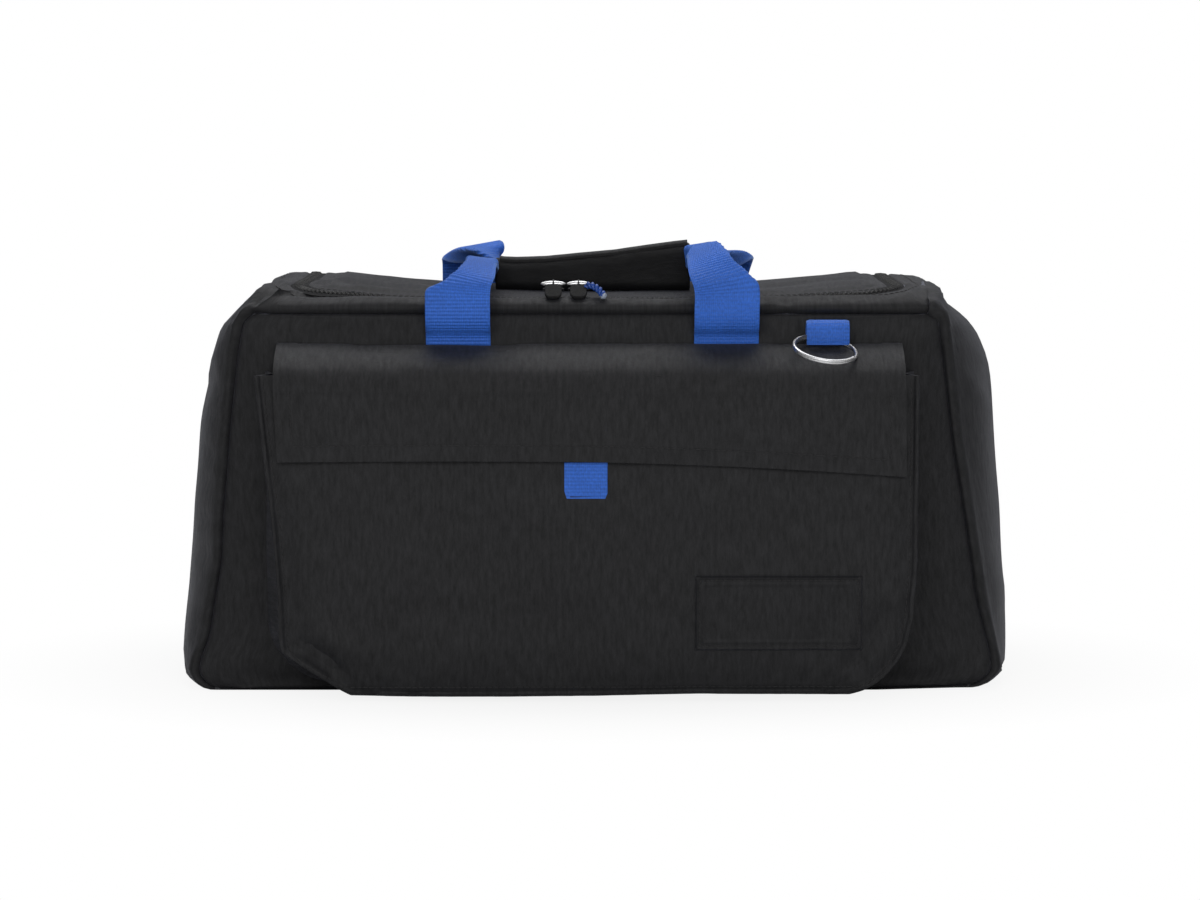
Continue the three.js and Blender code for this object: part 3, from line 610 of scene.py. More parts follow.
# Each fold: the side it lies on, its line, its width, and how far it rises or sinks.
end_folds = [
    ("top", [(-140, -92), (-172, -90.5), (-194, -94.5), (-207, -101)], 2.4, -2.0),
    ("top", [(-58, -91), (0, -90.5), (58, -91)], 3.4, -1.5),
    ("top", [(-184, -50), (-194, -76), (-205, -96)], 4.0, 1.7),
    ("top", [(-190, -34), (-201, -66), (-208, -94)], 3.2, -1.7),
    ("top", [(-200, -14), (-209, -52), (-213, -86)], 4.6, 1.6),
    ("top", [(-196, 20), (-208, 0), (-216, -30)], 5.0, -1.5),
    ("top", [(184, -52), (194, -76), (203, -96)], 5.0, 1.5),
    ("top", [(198, -26), (206, -60), (209, -92)], 3.6, -1.8),
    ("top", [(204, 6), (213, -36), (216, -74)], 5.0, 1.5),
    ("top", [(106, -98), (114, -99), (122, -97.5)], 5.0, -1.7),
    ("top", [(60, -96), (120, -92.5), (175, -95)], 2.4, 0.8),
    ("top", [(-196, -98), (-203, -103)], 3.4, -1.8),
    ("top", [(196, -98), (203, -103)], 3.4, -1.8),
    ("left", [(-98, 206), (-70, 190), (-44, 186)], 6.0, 1.1),
    ("left", [(-99, 190), (-70, 172), (-42, 168)], 6.0, -1.0),
    ("left", [(-97, 60), (-70, 52), (-40, 58)], 9.0, -0.8),
    ("left", [(94, 196), (56, 178), (14, 186)], 7.0, 1.5),
    ("right", [(-97, 200), (-68, 182), (-40, 176)], 6.0, 1.2),
    ("right", [(-98, 184), (-70, 166), (-42, 156)], 5.0, -1.3),
    ("right", [(-96, 46), (-70, 54), (-40, 50)], 9.0, -0.8),
    ("right", [(95, 190), (60, 170), (18, 178)], 7.0, -1.5),
]
gusset = pad("gusset", [end_patch(-1), end_patch(1), *rim_patches()], [nylon, foam_backing],
             0.8, end_folds, settle=(0.03, 6.0, 2.6), pucker=0.5, shape=filled)
fixed(gusset, "body", "black_nylon", "left_end_skin", "left_end_foam", "right_end_skin", "right_end_foam",
      "top_rim_skin", "top_rim_foam")

# ---------------------------------------------------------------- front and rear panels
# Two flat padded panels of the same nylon over foam. Each is sewn all the way round into the strip of
# the ends and the rim, and dips into the seam at its edge.
edge_steps = np.array([0, 0.7, 1.6, 3.0, 5.0, 8.0, 12.0, 18.0])  # from an edge inwards, for the seam's dip


def across_columns(half, count):
    """Places from -half to half, crowded towards both ends."""
    rest = np.linspace(-half + edge_steps[-1], half - edge_steps[-1], count)[1:-1]
    return np.concatenate([edge_steps - half, rest, half - edge_steps[::-1]])


def panel_patch(facing):
    rows = end_outline(-half_depth, seam_turn)
    flat = np.array([[(x, z) for x in across_columns(end, 48)] for end, z in rows])
    gap = nearest(flat, np.concatenate([flat[:, 0], flat[:, -1], flat[0], flat[-1]]))
    outer = np.stack([flat[..., 0], facing * (half_depth - seam_sink * np.exp(-gap / 2.7)), flat[..., 1]], -1)
    inner = outer.copy()
    inner[..., 1] = facing * (half_depth - padding)
    return outer, inner, flat


for facing, name in ((-1, "front"), (1, "rear")):
    panel = pad(name + "_panel", [panel_patch(facing)], [nylon, foam_backing], 0.7,
                settle=(0.01, 3.0, 2.5), pucker=0.45, shape=filled)
    fixed(panel, "body", "black_nylon", name + "_panel_skin", name + "_panel_foam")

# ---------------------------------------------------------------- base
# The bag's floor: nylon outside, a stiff board and foam above it. It is sewn to the panels and turns
# up into the ends, and the bag stands on it.
def base_patch():
    rows = []
    for y in depth_rows:
        half = base_half + swells[0] * across_depth(y) - base_corner
        rows.append([(s * half, sewn_y(y), seam_turn * drawn_in(y)) for s in np.linspace(-1, 1, 49)])
    outer = np.array(rows)
    inner = outer.copy()
    inner[..., 1] = np.clip(outer[..., 1], -inner_limit, inner_limit)
    inner[..., 2] = padding
    return outer, inner, outer[..., :2]


base = pad("base", [base_patch()], [nylon, foam_backing], 0.0, pucker=0, shape=filled)
fixed(base, "body", "black_nylon", "base_skin", "base_board", "base_foam")

# ---------------------------------------------------------------- lining
# A tub of thin smooth cloth inside the padding, open at the top under the lid. It is sewn in at the
# rim and lies on the base.
lining_cloth = woven("lining_cloth", (0.02, 0.02, 0.022), yarn=0.0005, streak=0.12, sheen=0.1, rough=0.5)
lining_top = seam_top - 6
lining_faces = (padding + 0.3, padding + 1.1)  # inwards from the bag's outside
lining_end = inner_limit - 0.1


def lining_patches():
    """The lining's floor with both ends in one piece, and its two long sides."""
    thick = lining_faces[1] - lining_faces[0]
    trough = []
    for y in np.linspace(-1, 1, 25) * lining_end:
        pair = []
        for inset, held in zip(lining_faces, (y, np.clip(y, thick - lining_end, lining_end - thick))):
            right = end_outline(held, inset)
            right[:, 1] = np.minimum(right[:, 1], lining_top - (inset - lining_faces[0]))
            right = np.concatenate([right, [[zip_half, right[-1, 1]]]])
            floor_x = np.linspace(-right[0, 0], right[0, 0], 41)[1:-1]
            floor_line = np.stack([floor_x, np.full(39, right[0, 1])], 1)
            pair.append([(x, held, z) for x, z in np.concatenate([(right * (-1, 1))[::-1], floor_line, right])])
        trough.append(pair)
    trough = np.array(trough)
    patches = [(trough[:, 0], trough[:, 1], trough[:, 0][..., :2])]
    for facing in (-1, 1):
        y, back = facing * lining_end, facing * (lining_end - thick)
        outline = end_outline(y, lining_faces[0])
        outline[:, 1] = np.minimum(outline[:, 1], lining_top)
        outer = np.array([[(s * x, y, z) for s in np.linspace(-1, 1, 41)] for x, z in outline])
        outline = end_outline(back, lining_faces[1])
        inner = np.array([[(s * x, back, z) for s in np.linspace(-1, 1, 41)] for x, z in outline])
        patches.append((outer, inner, outer[..., [0, 2]]))
    return patches


tub = pad("lining", lining_patches(), [lining_cloth], 0.0, pucker=0, backing=0, shape=filled)
fixed(tub, "body", "lining_cloth", "lining")

# ---------------------------------------------------------------- lid
# A padded lid of nylon over foam, with rounded front corners and a lining of its own beneath. The zip
# is sewn under its edge on three sides, and it lifts on its rear edge.
lid_half, lid_front = zip_half - cloth_edge, zip_front + cloth_edge
lid_corner = zip_corner - cloth_edge
lid_turns = np.radians([0, 10, 20, 30, 40, 50, 60, 70, 80, 90])
lid_rows = np.concatenate([lid_front + lid_corner * (1 - np.cos(lid_turns)),
                           np.linspace(lid_front + lid_corner, hinge_y - 14, 20)[1:],
                           hinge_y - 0.3 - edge_steps[::-1][1:]])
lid_ends = np.concatenate([lid_half - lid_corner + lid_corner * np.sin(lid_turns),
                           np.full(len(lid_rows) - len(lid_turns), lid_half)])


def lid_patch(top, bottom):
    """A layer of the lid between two depths under the crown, its edge turned under."""
    plan = np.array([[(x, y) for x in across_columns(end, 40)] for end, y in zip(lid_ends, lid_rows)])
    gap = nearest(plan, np.concatenate([plan[:, 0], plan[:, -1], plan[0], plan[-1]]))
    outer = np.stack([plan[..., 0], plan[..., 1], crown(plan[..., 1]) - top - 0.9 * np.exp(-gap / 1.8)], -1)
    inner = outer.copy()
    inner[..., 2] = crown(plan[..., 1]) - bottom
    return outer, inner, plan


lid_folds = [
    ("top", [(-172, -62), (-142, -34), (-92, -8)], 5.0, 2.8),
    ("top", [(-170, -46), (-126, -44), (-76, -30)], 4.0, -1.8),
    ("top", [(-176, -34), (-132, 6), (-84, 20)], 5.0, -2.4),
    ("top", [(-168, 10), (-128, 40), (-70, 44)], 8.0, 1.6),
    ("top", [(-58, -66), (-104, -60), (-156, -68)], 3.5, 1.8),
    ("top", [(84, -66), (136, -48), (172, -44)], 6.0, 1.5),
    ("top", [(96, -20), (140, 0), (176, -12)], 7.0, -1.6),
    ("top", [(-60, 70), (0, 62), (70, 74)], 9.0, 1.2),
]
lid = pad("lid_pad", [lid_patch(0, padding)], [nylon, foam_backing], 0.9, lid_folds,
          settle=(0.02, 5.0, 2.4), shape=filled)
fixed(lid, "lid", "black_nylon", "lid_skin", "lid_foam")
under = pad("lid_lining", [lid_patch(*lining_faces)], [lining_cloth], 0.0, pucker=0, backing=0,
            shape=filled)
fixed(under, "lid", "lining_cloth", "lid_lining")

# ---------------------------------------------------------------- zip
# A coil zip runs from the hinge along one end, across the front and back along the other end. Each
# side has a woven tape sewn under the cloth's edge and a row of small plastic teeth.
def specked(name, colour, specks, spread, rough, detail=2.0, specular=0.5):
    """A moulded or twisted thing of one colour, a little lighter and darker in fine specks."""
    finish, tree, shader = new_finish(name)
    spot = tree.nodes.new("ShaderNodeTexCoord").outputs["Object"]
    tinted(tree, shader, colour, ranged(tree, speckle(tree, spot, specks, detail), 0.3, 0.7, *spread))
    shader.inputs["Roughness"].default_value = rough
    shader.inputs["Specular IOR Level"].default_value = specular
    return finish


# The teeth and the tape are coloured darker than the body cloth: partly their own black, partly painted shade
# for the zip's groove.
zip_plastic = specked("zip_plastic", (0.008, 0.008, 0.0085), 900, (0.8, 1.2), 0.45)
tape_cloth = woven("tape_cloth", (0.006, 0.006, 0.0065), yarn=0.0007, streak=0.15, sheen=0.03, rough=0.7,
                   specular=0.15)
zip_rear = hinge_y - 8


def zip_stations(step):
    """Places along the middle of the zip, with the way out from the lid at each."""
    centre = (zip_half - zip_corner, zip_front + zip_corner)
    side = [((zip_half, y), (1, 0)) for y in np.arange(zip_rear, centre[1], -step)]
    turns = np.linspace(0, math.pi / 2, max(3, round(zip_corner * math.pi / 2 / step)))
    corner = [((centre[0] + zip_corner * math.cos(t), centre[1] - zip_corner * math.sin(t)),
               (math.cos(t), -math.sin(t))) for t in turns]
    across_x = np.linspace(centre[0], -centre[0], round(2 * centre[0] / step))[1:-1]
    across = [((x, zip_front), (0, -1)) for x in across_x]
    right = side + corner
    left = [((-c[0], c[1]), (-n[0], n[1])) for c, n in right][::-1]
    both = right + across + left
    return np.array([c for c, n in both]), np.array([n for c, n in both])


def band(name, corners, places, ways, finish):
    """A strip of even section along the zip; corners are (way out, height above the crown)."""
    points = []
    for place, way in zip(places, ways):
        for out, up in corners:
            x, y = place + way * out
            points.append((x, y, crown(y) + up))
    n = len(corners)
    faces = grid_faces(len(places), n, closed=True)
    faces += [list(range(n))[::-1], [len(points) - n + i for i in range(n)]]
    along = arc_lengths(places)
    cut = [(corners[i % n][0], along[i // n]) for i in range(len(points))]
    return new_piece(name, filled(np.array(points)), faces, [finish], cut, sharp=40)


def tooth_row(name, places, ways, side, finish):
    """A row of teeth, one at each place: the coil's turns as small blocks, higher at the zip's middle."""
    points, faces = [], []
    outline = [(-0.42, -1.0), (0.42, -1.0), (0.5, 0.3), (0.22, 1.05), (-0.22, 1.05), (-0.5, 0.3)]
    for place, way in zip(places, ways):
        along = np.array((-way[1], way[0]))
        start = len(points)
        for out in (-0.35 * side, 2.9 * side):
            for a, up in outline:
                x, y = place + way * out + along * a
                points.append((x, y, crown(y) - 0.7 + up * (1 if out * side < 1 else 0.8)))
        faces += [[start + i, start + (i + 1) % 6, start + 6 + (i + 1) % 6, start + 6 + i] for i in range(6)]
        faces += [[start + i for i in range(6)][::-1], [start + 6 + i for i in range(6)]]
    return new_piece(name, filled(np.array(points)), faces, [finish], sharp=35)


def evenly(points, gap):
    """The same line with its rows an even distance apart, measured on its first three values."""
    along = arc_lengths(points[:, :3])
    wanted = np.linspace(0, along[-1], int(along[-1] / gap) + 1)
    return np.stack([np.interp(wanted, along, points[:, i]) for i in range(points.shape[1])], 1), wanted


def together(*solids):
    """Several closed solids as one piece's points and faces."""
    points, faces = [], []
    for some, their_faces in solids:
        faces += [[i + len(points) for i in face] for face in their_faces]
        points += [tuple(p) for p in some]
    return points, faces


def headings(line):
    """The way ahead along a line at each of its points."""
    step = np.gradient(line, axis=0)
    return step / np.linalg.norm(step, axis=1)[:, None]


def tube(line, radii, sides=14):
    """A round bar along a line, with a radius at each point, and closed ends."""
    line = np.asarray(line, float)
    radii = np.broadcast_to(radii, len(line))
    ahead = headings(line)
    side = np.cross(ahead[0], (0.31, 0.52, 0.8))
    points = []
    for p, t, r in zip(line, ahead, radii):
        side = side - t * (side @ t)
        side /= np.linalg.norm(side)
        up = np.cross(t, side)
        for a in np.linspace(0, 2 * math.pi, sides, endpoint=False):
            points.append(p + r * (math.cos(a) * side + math.sin(a) * up))
    faces = grid_faces(len(line), sides, closed=True)
    faces += [list(range(sides))[::-1], [(len(line) - 1) * sides + i for i in range(sides)]]
    return points, faces


def resting_on(piece, spots, way):
    """The spots, in the bag's millimetres, moved along way to lie on a finished piece. A spot that
    isn't over the piece becomes nan."""
    mesh = piece.data
    surface = BVHTree.FromPolygons([v.co for v in mesh.vertices], [list(p.vertices) for p in mesh.polygons])
    way = Vector(way).normalized()
    off_edges = Vector((1.3e-5, 0.7e-5, 1.1e-5))  # a ray along an edge of the mesh can miss it
    out = []
    for spot, start in zip(spots, placed(spots)):
        hit = surface.ray_cast(Vector(start) + off_edges + way * 0.03, -way)[0]
        out.append(np.array(hit - middle) / mm if hit else np.full(3, np.nan))
    return np.array(out)


thread = specked("black_thread", (0.012, 0.012, 0.013), 2500, (0.7, 1.3), 0.7)


def stitched(name, piece, line, way, body, pitch=3.6, thick=0.36, closed=False):
    """A row of lockstitches on a finished piece, each pulled into the cloth at both ends."""
    line = np.asarray(line, float)
    if closed:
        line = np.concatenate([line, line[:1]])
    spots = resting_on(piece, evenly(line, pitch)[0], way)
    way = np.array(way, float)
    stitches = []
    for a, b in zip(spots, spots[1:]):
        if not np.linalg.norm(b - a) < 2 * pitch:
            continue
        share = np.array([0.1, 0.16, 0.3, 0.5, 0.7, 0.84, 0.9])
        rise = np.array([-0.35, -0.1, 0.1, 0.16, 0.1, -0.1, -0.35]) * thick
        row = a + (b - a) * share[:, None] + way * rise[:, None]
        stitches.append(tube(row, np.array([0.5, 0.8, 0.95, 1.0, 0.95, 0.8, 0.5]) * thick, 6))
    points, faces = together(*stitches)
    return fixed(new_piece(name, points, faces, [thread], sharp=80), body, "black_nylon")


fine_places, fine_ways = zip_stations(1.45)  # a tooth of either side in turn
places, ways = zip_stations(3.0)
tape = [(0.75, -1.6), (0.75, -0.9), (5.6, -0.8), (7.2, -0.8), (7.2, -1.6)]
fixed(band("zip_tape_body", tape, places, ways, tape_cloth), "body", "black_nylon", "zip_tape_body")
fixed(tooth_row("zip_teeth_body", fine_places[::2], fine_ways[::2], 1, zip_plastic), "body", "zip_teeth",
      "zip_chain_body")
lid_tape = [(-out, up) for out, up in tape[::-1]]
for sign, name in ((-1, "left"), (1, "right")):
    for spots, turns_out, kind in ((places, ways, "tape"), (fine_places[1::2], fine_ways[1::2], "teeth")):
        # Each half stops short of its own slider, where the zip is open at rest.
        keep = spots[:, 0] < -33 if sign < 0 else spots[:, 0] > -1
        if kind == "tape":
            fixed(band("zip_tape_lid_" + name, lid_tape, spots[keep], turns_out[keep], tape_cloth), "lid",
                  "black_nylon", "zip_tape_lid_" + name)
        else:
            fixed(tooth_row("zip_teeth_lid_" + name, spots[keep], turns_out[keep], -1, zip_plastic), "lid",
                  "zip_teeth", "zip_chain_lid_" + name)

stitch_gap = cloth_edge + 3.0
for name, piece, body, out in (("rim_stitches", gusset, "body", stitch_gap),
                               ("lid_stitches", lid, "lid", -stitch_gap)):
    line = [(*(place + way * out), 245.0) for place, way in zip(*zip_stations(2.0))]
    stitched(name, piece, line, (0, 0, 1), body)

# The lid's hinge: a strip of tape behind the seam, from the rim to the lid.
hinge_x = np.linspace(-178, 178, 73)
hinge_rows = [hinge_y + off for off in (-7, -3, 0, 3, 7)]
outer = filled(np.array([[(x, y, crown(y) - padding - 0.4) for x in hinge_x] for y in hinge_rows]))
inner = outer - (0, 0, 0.8)
hinge = pad("lid_hinge_tape", [(outer, inner, outer[..., :2])], [tape_cloth], 0.0, pucker=0, backing=0)
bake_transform(hinge)

# ---------------------------------------------------------------- zip sliders and their pulls
# Two cast metal sliders that meet at the front. Each has a bail, a bright barrel that turns in it
# and a dark rubber tab; the right one also carries a short twisted cord.
steel, tree, shader = new_finish("bright_steel")
shader.inputs["Base Color"].default_value = (0.72, 0.72, 0.73, 1)
shader.inputs["Metallic"].default_value = 1.0
spot = tree.nodes.new("ShaderNodeTexCoord").outputs["Object"]
scuffs = speckle(tree, stretched(tree, spot, 900, 900, 2600), 1.0, 3.0)
tree.links.new(ranged(tree, scuffs, 0.3, 0.7, 0.22, 0.4), shader.inputs["Roughness"])
dark_metal, tree, shader = new_finish("dark_metal")
shader.inputs["Base Color"].default_value = (0.045, 0.045, 0.047, 1)
shader.inputs["Metallic"].default_value = 0.85
spot = tree.nodes.new("ShaderNodeTexCoord").outputs["Object"]
tree.links.new(ranged(tree, speckle(tree, spot, 1500, 2.0), 0.3, 0.7, 0.26, 0.42), shader.inputs["Roughness"])
rubber = specked("dark_rubber", (0.009, 0.009, 0.0095), 1200, (0.7, 1.4), 0.75, 3.0, 0.18)
cord_finish = specked("blue_cord", (0.012, 0.06, 0.3), 2200, (0.75, 1.3), 0.3, 3.0)
cord_tip = specked("cord_tip", (0.35, 0.4, 0.5), 1800, (0.8, 1.2), 0.35)


def rounded(angle, powers):
    """A point on a round outline, which is squarer the smaller its two powers are."""
    return [math.copysign(abs(v) ** p, v) for v, p in zip((math.cos(angle), math.sin(angle)), powers)]


def slab(outline, low, high, bevel=0.35, dome=0.0):
    """A plate with rounded edges: an outline in the plan between two heights, its middle raised by dome."""
    outline = np.asarray(outline, float)
    centre = outline.mean(0)
    reach = np.linalg.norm(outline - centre, axis=1)[:, None]
    points = []
    for inset, z in ((bevel, low), (0, low + bevel), (0, high - bevel), (bevel, high)):
        ring = centre + (outline - centre) * (1 - inset / reach)
        points += [(x, y, z) for x, y in ring]
    n = len(outline)
    points += [(*(centre + (p - centre) * 0.5), high + dome) for p in outline]
    points.append((*centre, high + dome * 1.3))
    faces = grid_faces(5, n, closed=True) + [list(range(n))[::-1]]
    faces += [(4 * n + i, 4 * n + (i + 1) % n, 5 * n) for i in range(n)]
    return points, faces


slider_length, slider_half = 6.3, 5.4  # along the zip and across it, from the slider's middle
pin_y, pin_z, tab_tilt = -85.8, 240.36, math.radians(27)
tab_half, tab_length, tab_out = 5.1, 7.6, 8.9  # its middle lies tab_out from the pin
for name, x, left_reach, right_reach in (("left", -24.5, 7.6, 7.3), ("right", -9.5, 7.2, 6.8)):
    # The slider: two plates joined by a wedge between the teeth, and a bail over the upper one.
    turn = np.linspace(0, 2 * math.pi, 40, endpoint=False)
    plan = []
    for a in turn:
        along, across = rounded(a, (0.6, 0.7))
        plan.append((x + slider_length * along * (1 - 0.16 * math.sin(a)), zip_front + slider_half * across))
    wedge = [(x + 1.2 * math.cos(a), -80.6 + 1.6 * math.sin(a)) for a in turn[::2]]
    bail = [(x, zip_front + 4.1 * math.cos(a), 237.6 + 4.6 * math.sin(a) ** 0.8)
            for a in np.linspace(0.02, math.pi - 0.02, 21)]
    points, faces = together(slab(plan, 231.0, 232.4), slab(wedge, 232.2, 236.6),
                             slab(plan, 236.4, 237.9, 0.5, 0.25), tube(bail, 0.75, 10))
    fixed(new_piece(name + "_slider", points, faces, [dark_metal], sharp=45), "slider_" + name, "black_metal",
          name + "_slider")
    # The puller's barrel turns in the bail, thick in the middle and pointed at both ends.
    share = np.array([-1, -0.97, -0.88, -0.7, -0.45, -0.15, 0.15, 0.45, 0.7, 0.88, 0.97, 1])
    line = [(x + (right_reach if t > 0 else left_reach) * t, pin_y, pin_z) for t in share]
    points, faces = tube(line, (0.15, 0.55, 0.95, 1.35, 1.7, 1.9, 1.9, 1.7, 1.35, 0.95, 0.55, 0.15), 20)
    fixed(new_piece(name + "_puller", points, faces, [steel], sharp=45), "puller_" + name, "bright_metal",
          name + "_puller")
    # Its rubber tab, rounder at the free end, with shallow grooves for the fingers.
    shape = []
    for a in np.linspace(0, 2 * math.pi, 48, endpoint=False):
        across, along = rounded(a, (0.55, 0.5 if math.sin(a) > 0 else 0.75))
        shape.append((tab_half * across, tab_length * along))
    points, faces = slab(shape, -0.95, 0.95, 0.5)
    grip = []
    for across, along, up in points:
        groove = 0.22 * math.sin(along * 2.2) * (abs(across) < 3.6) * (-5.5 < along < 4.5)
        up = up + math.copysign(groove, up) if abs(up) > 0.9 else up
        out = tab_out - along
        grip.append((x + across, pin_y - out * math.cos(tab_tilt) - up * math.sin(tab_tilt),
                     pin_z - out * math.sin(tab_tilt) + up * math.cos(tab_tilt)))
    fixed(new_piece(name + "_pull_tab", grip, faces, [rubber], sharp=40), "puller_" + name, "black_metal")

# The right puller's cord: two strands twisted together, with a sealed tip.
route = smooth_through([(-5.0, -89.5, 239.4), (-2.6, -91.4, 239.9), (0.4, -94.2, 238.9), (3.4, -97.0, 236.6),
                        (5.4, -99.4, 233.8)], 12)
ahead = headings(route)
one = np.cross(ahead, (0, 0, 1))
one /= np.linalg.norm(one, axis=1)[:, None]
two = np.cross(ahead, one)
twist = arc_lengths(route) * 2 * math.pi / 6.5
strands = []
for start in (0, math.pi):
    line = route + 1.1 * (np.cos(twist + start)[:, None] * one + np.sin(twist + start)[:, None] * two)
    strands.append(tube(line, 1.15, 12))
points, faces = together(*strands)
fixed(new_piece("puller_cord", points, faces, [cord_finish], sharp=50), "puller_right", "blue_webbing",
      "puller_cord")
points, faces = tube([route[-1] - ahead[-1], route[-1] + ahead[-1] * 0.2, route[-1] + ahead[-1] * 1.2],
                     (2.0, 2.1, 1.2), 16)
fixed(new_piece("puller_cord_end", points, faces, [cord_tip], sharp=50), "puller_right", "blue_webbing")

# ---------------------------------------------------------------- webbing handles
# Each handle is one length of ribbed blue webbing: sewn up the panel, swung out clear of the rim,
# folded over at its crest and gathered lengthwise where a hand holds it.
def ribbed(name, colour, pitch=0.0021):
    """Webbing: ribs across it with painted shade in the grooves between them, fine yarns along it, fuzz, and
    places worn a little lighter.
    """
    finish, tree, shader = new_finish(name)
    place = cloth_place(tree)
    parts = tree.nodes.new("ShaderNodeSeparateXYZ")
    tree.links.new(place, parts.inputs["Vector"])
    # rib darkens the colour in the grooves between the ribs: painted shade.
    rib = math_node(tree, "SINE", math_node(tree, "MULTIPLY", parts.outputs["Y"], 2 * math.pi / pitch))
    yarn = 0.0011
    yarns = math_node(tree, "SINE", math_node(tree, "MULTIPLY", parts.outputs["X"], 2 * math.pi / yarn))
    fuzz = speckle(tree, stretched(tree, place, 900, 500), 1.0, 3.0, 0.6)
    worn = speckle(tree, place, 45, 3.0)
    # The first term is the painted shade of the rib grooves.
    shade = math_node(tree, "ADD", ranged(tree, rib, -1, 1, 0.86, 1.07),
                      ranged(tree, fuzz, 0.3, 0.7, -0.18, 0.18))
    shade = math_node(tree, "ADD", shade, ranged(tree, worn, 0.3, 0.7, -0.08, 0.08))
    shade = math_node(tree, "ADD", shade, ranged(tree, yarns, -1, 1, -0.05, 0.05))
    tinted(tree, shader, colour, shade)
    height = math_node(tree, "ADD", math_node(tree, "MULTIPLY", yarns, 0.25), fuzz)
    relief(tree, shader, height, 0.5, 0.0002)
    shader.inputs["Roughness"].default_value = 0.6
    shader.inputs["Specular IOR Level"].default_value = 0.3
    shader.inputs["Sheen Weight"].default_value = 0.4
    shader.inputs["Sheen Roughness"].default_value = 0.35
    shader.inputs["Sheen Tint"].default_value = (0.5, 0.7, 1.0, 1)
    return finish


blue = ribbed("blue_webbing", (0.033, 0.142, 0.6))
strap_centre = -1.3


def webbing(name, route, finish, width=38.0, thick=1.5, pitch=2.1, rib=0.16, columns=31):
    """Webbing along a route: x, y, z, the way across it, its roll, and how much of its inner and outer
    edge is folded under and how far. The route runs along the middle of the part left flat."""
    rows, along = evenly(smooth_through(route, 14), pitch / 6)
    centre = rows[:, :3]
    ways = np.radians(rows[:, 3])
    middle_line = centre - (np.stack([np.cos(ways), np.sin(ways), 0 * ways], 1)
                            * ((rows[:, 5] - rows[:, 7]) / 2)[:, None])
    ahead = headings(middle_line)
    fine = 4  # steps between two columns, for the turn of a folded edge
    ease = 2.6  # the length over which an edge folds
    s = np.linspace(-width / 2, width / 2, (columns - 1) * fine + 1)
    step = s[1] - s[0]
    top, bottom, cut = [], [], []
    for i, (x, y, z, way, roll, inner, inner_turn, outer, outer_turn) in enumerate(rows):
        way, roll = math.radians(way), math.radians(roll)
        across = np.array((math.cos(way), math.sin(way), 0))
        across -= ahead[i] * (across @ ahead[i])
        across /= np.linalg.norm(across)
        normal = np.cross(ahead[i], across)
        across, normal = (across * math.cos(roll) + normal * math.sin(roll),
                          normal * math.cos(roll) - across * math.sin(roll))
        low, high = -width / 2 + inner, width / 2 - outer
        bend_low = eased(np.clip((low - s) / ease + 0.5, 0, 1)) * math.radians(inner_turn) * (inner > 0.05)
        bend_high = eased(np.clip((s - high) / ease + 0.5, 0, 1)) * math.radians(outer_turn) * (outer > 0.05)
        bend = bend_high - bend_low
        a = np.concatenate([[0], np.cumsum((np.cos(bend[1:]) + np.cos(bend[:-1])) / 2 * step)])
        n = np.concatenate([[0], np.cumsum(-(np.sin(bend[1:]) + np.sin(bend[:-1])) / 2 * step)])
        a -= np.interp((low + high) / 2, s, a)
        n -= np.interp((low + high) / 2, s, n)
        a, n, b = a[::fine], n[::fine], bend[::fine]
        line = centre[i] + a[:, None] * across + n[:, None] * normal
        out = np.sin(b)[:, None] * across + np.cos(b)[:, None] * normal
        half = np.full(columns, thick / 2 + rib * math.cos(2 * math.pi * along[i] / pitch))
        half[[1, -2]] = thick / 2 + 0.12  # a firm woven edge
        half[[0, -1]] = thick * 0.22
        top.append(line + out * half[:, None])
        bottom.append(line - out * half[:, None])
        cut.append([(u, along[i]) for u in s[::fine]])
    top, bottom, cut = np.array(top), np.array(bottom), np.array(cut)
    ring = np.concatenate([top, bottom[:, ::-1]], 1)
    cut = np.concatenate([cut, cut[:, ::-1]], 1).reshape(-1, 2)
    n = 2 * columns
    faces = grid_faces(len(rows), n, closed=True)
    faces += [list(range(n))[::-1], [(len(rows) - 1) * n + i for i in range(n)]]
    return new_piece(name, ring.reshape(-1, 3), faces, [finish], cut, sharp=60)


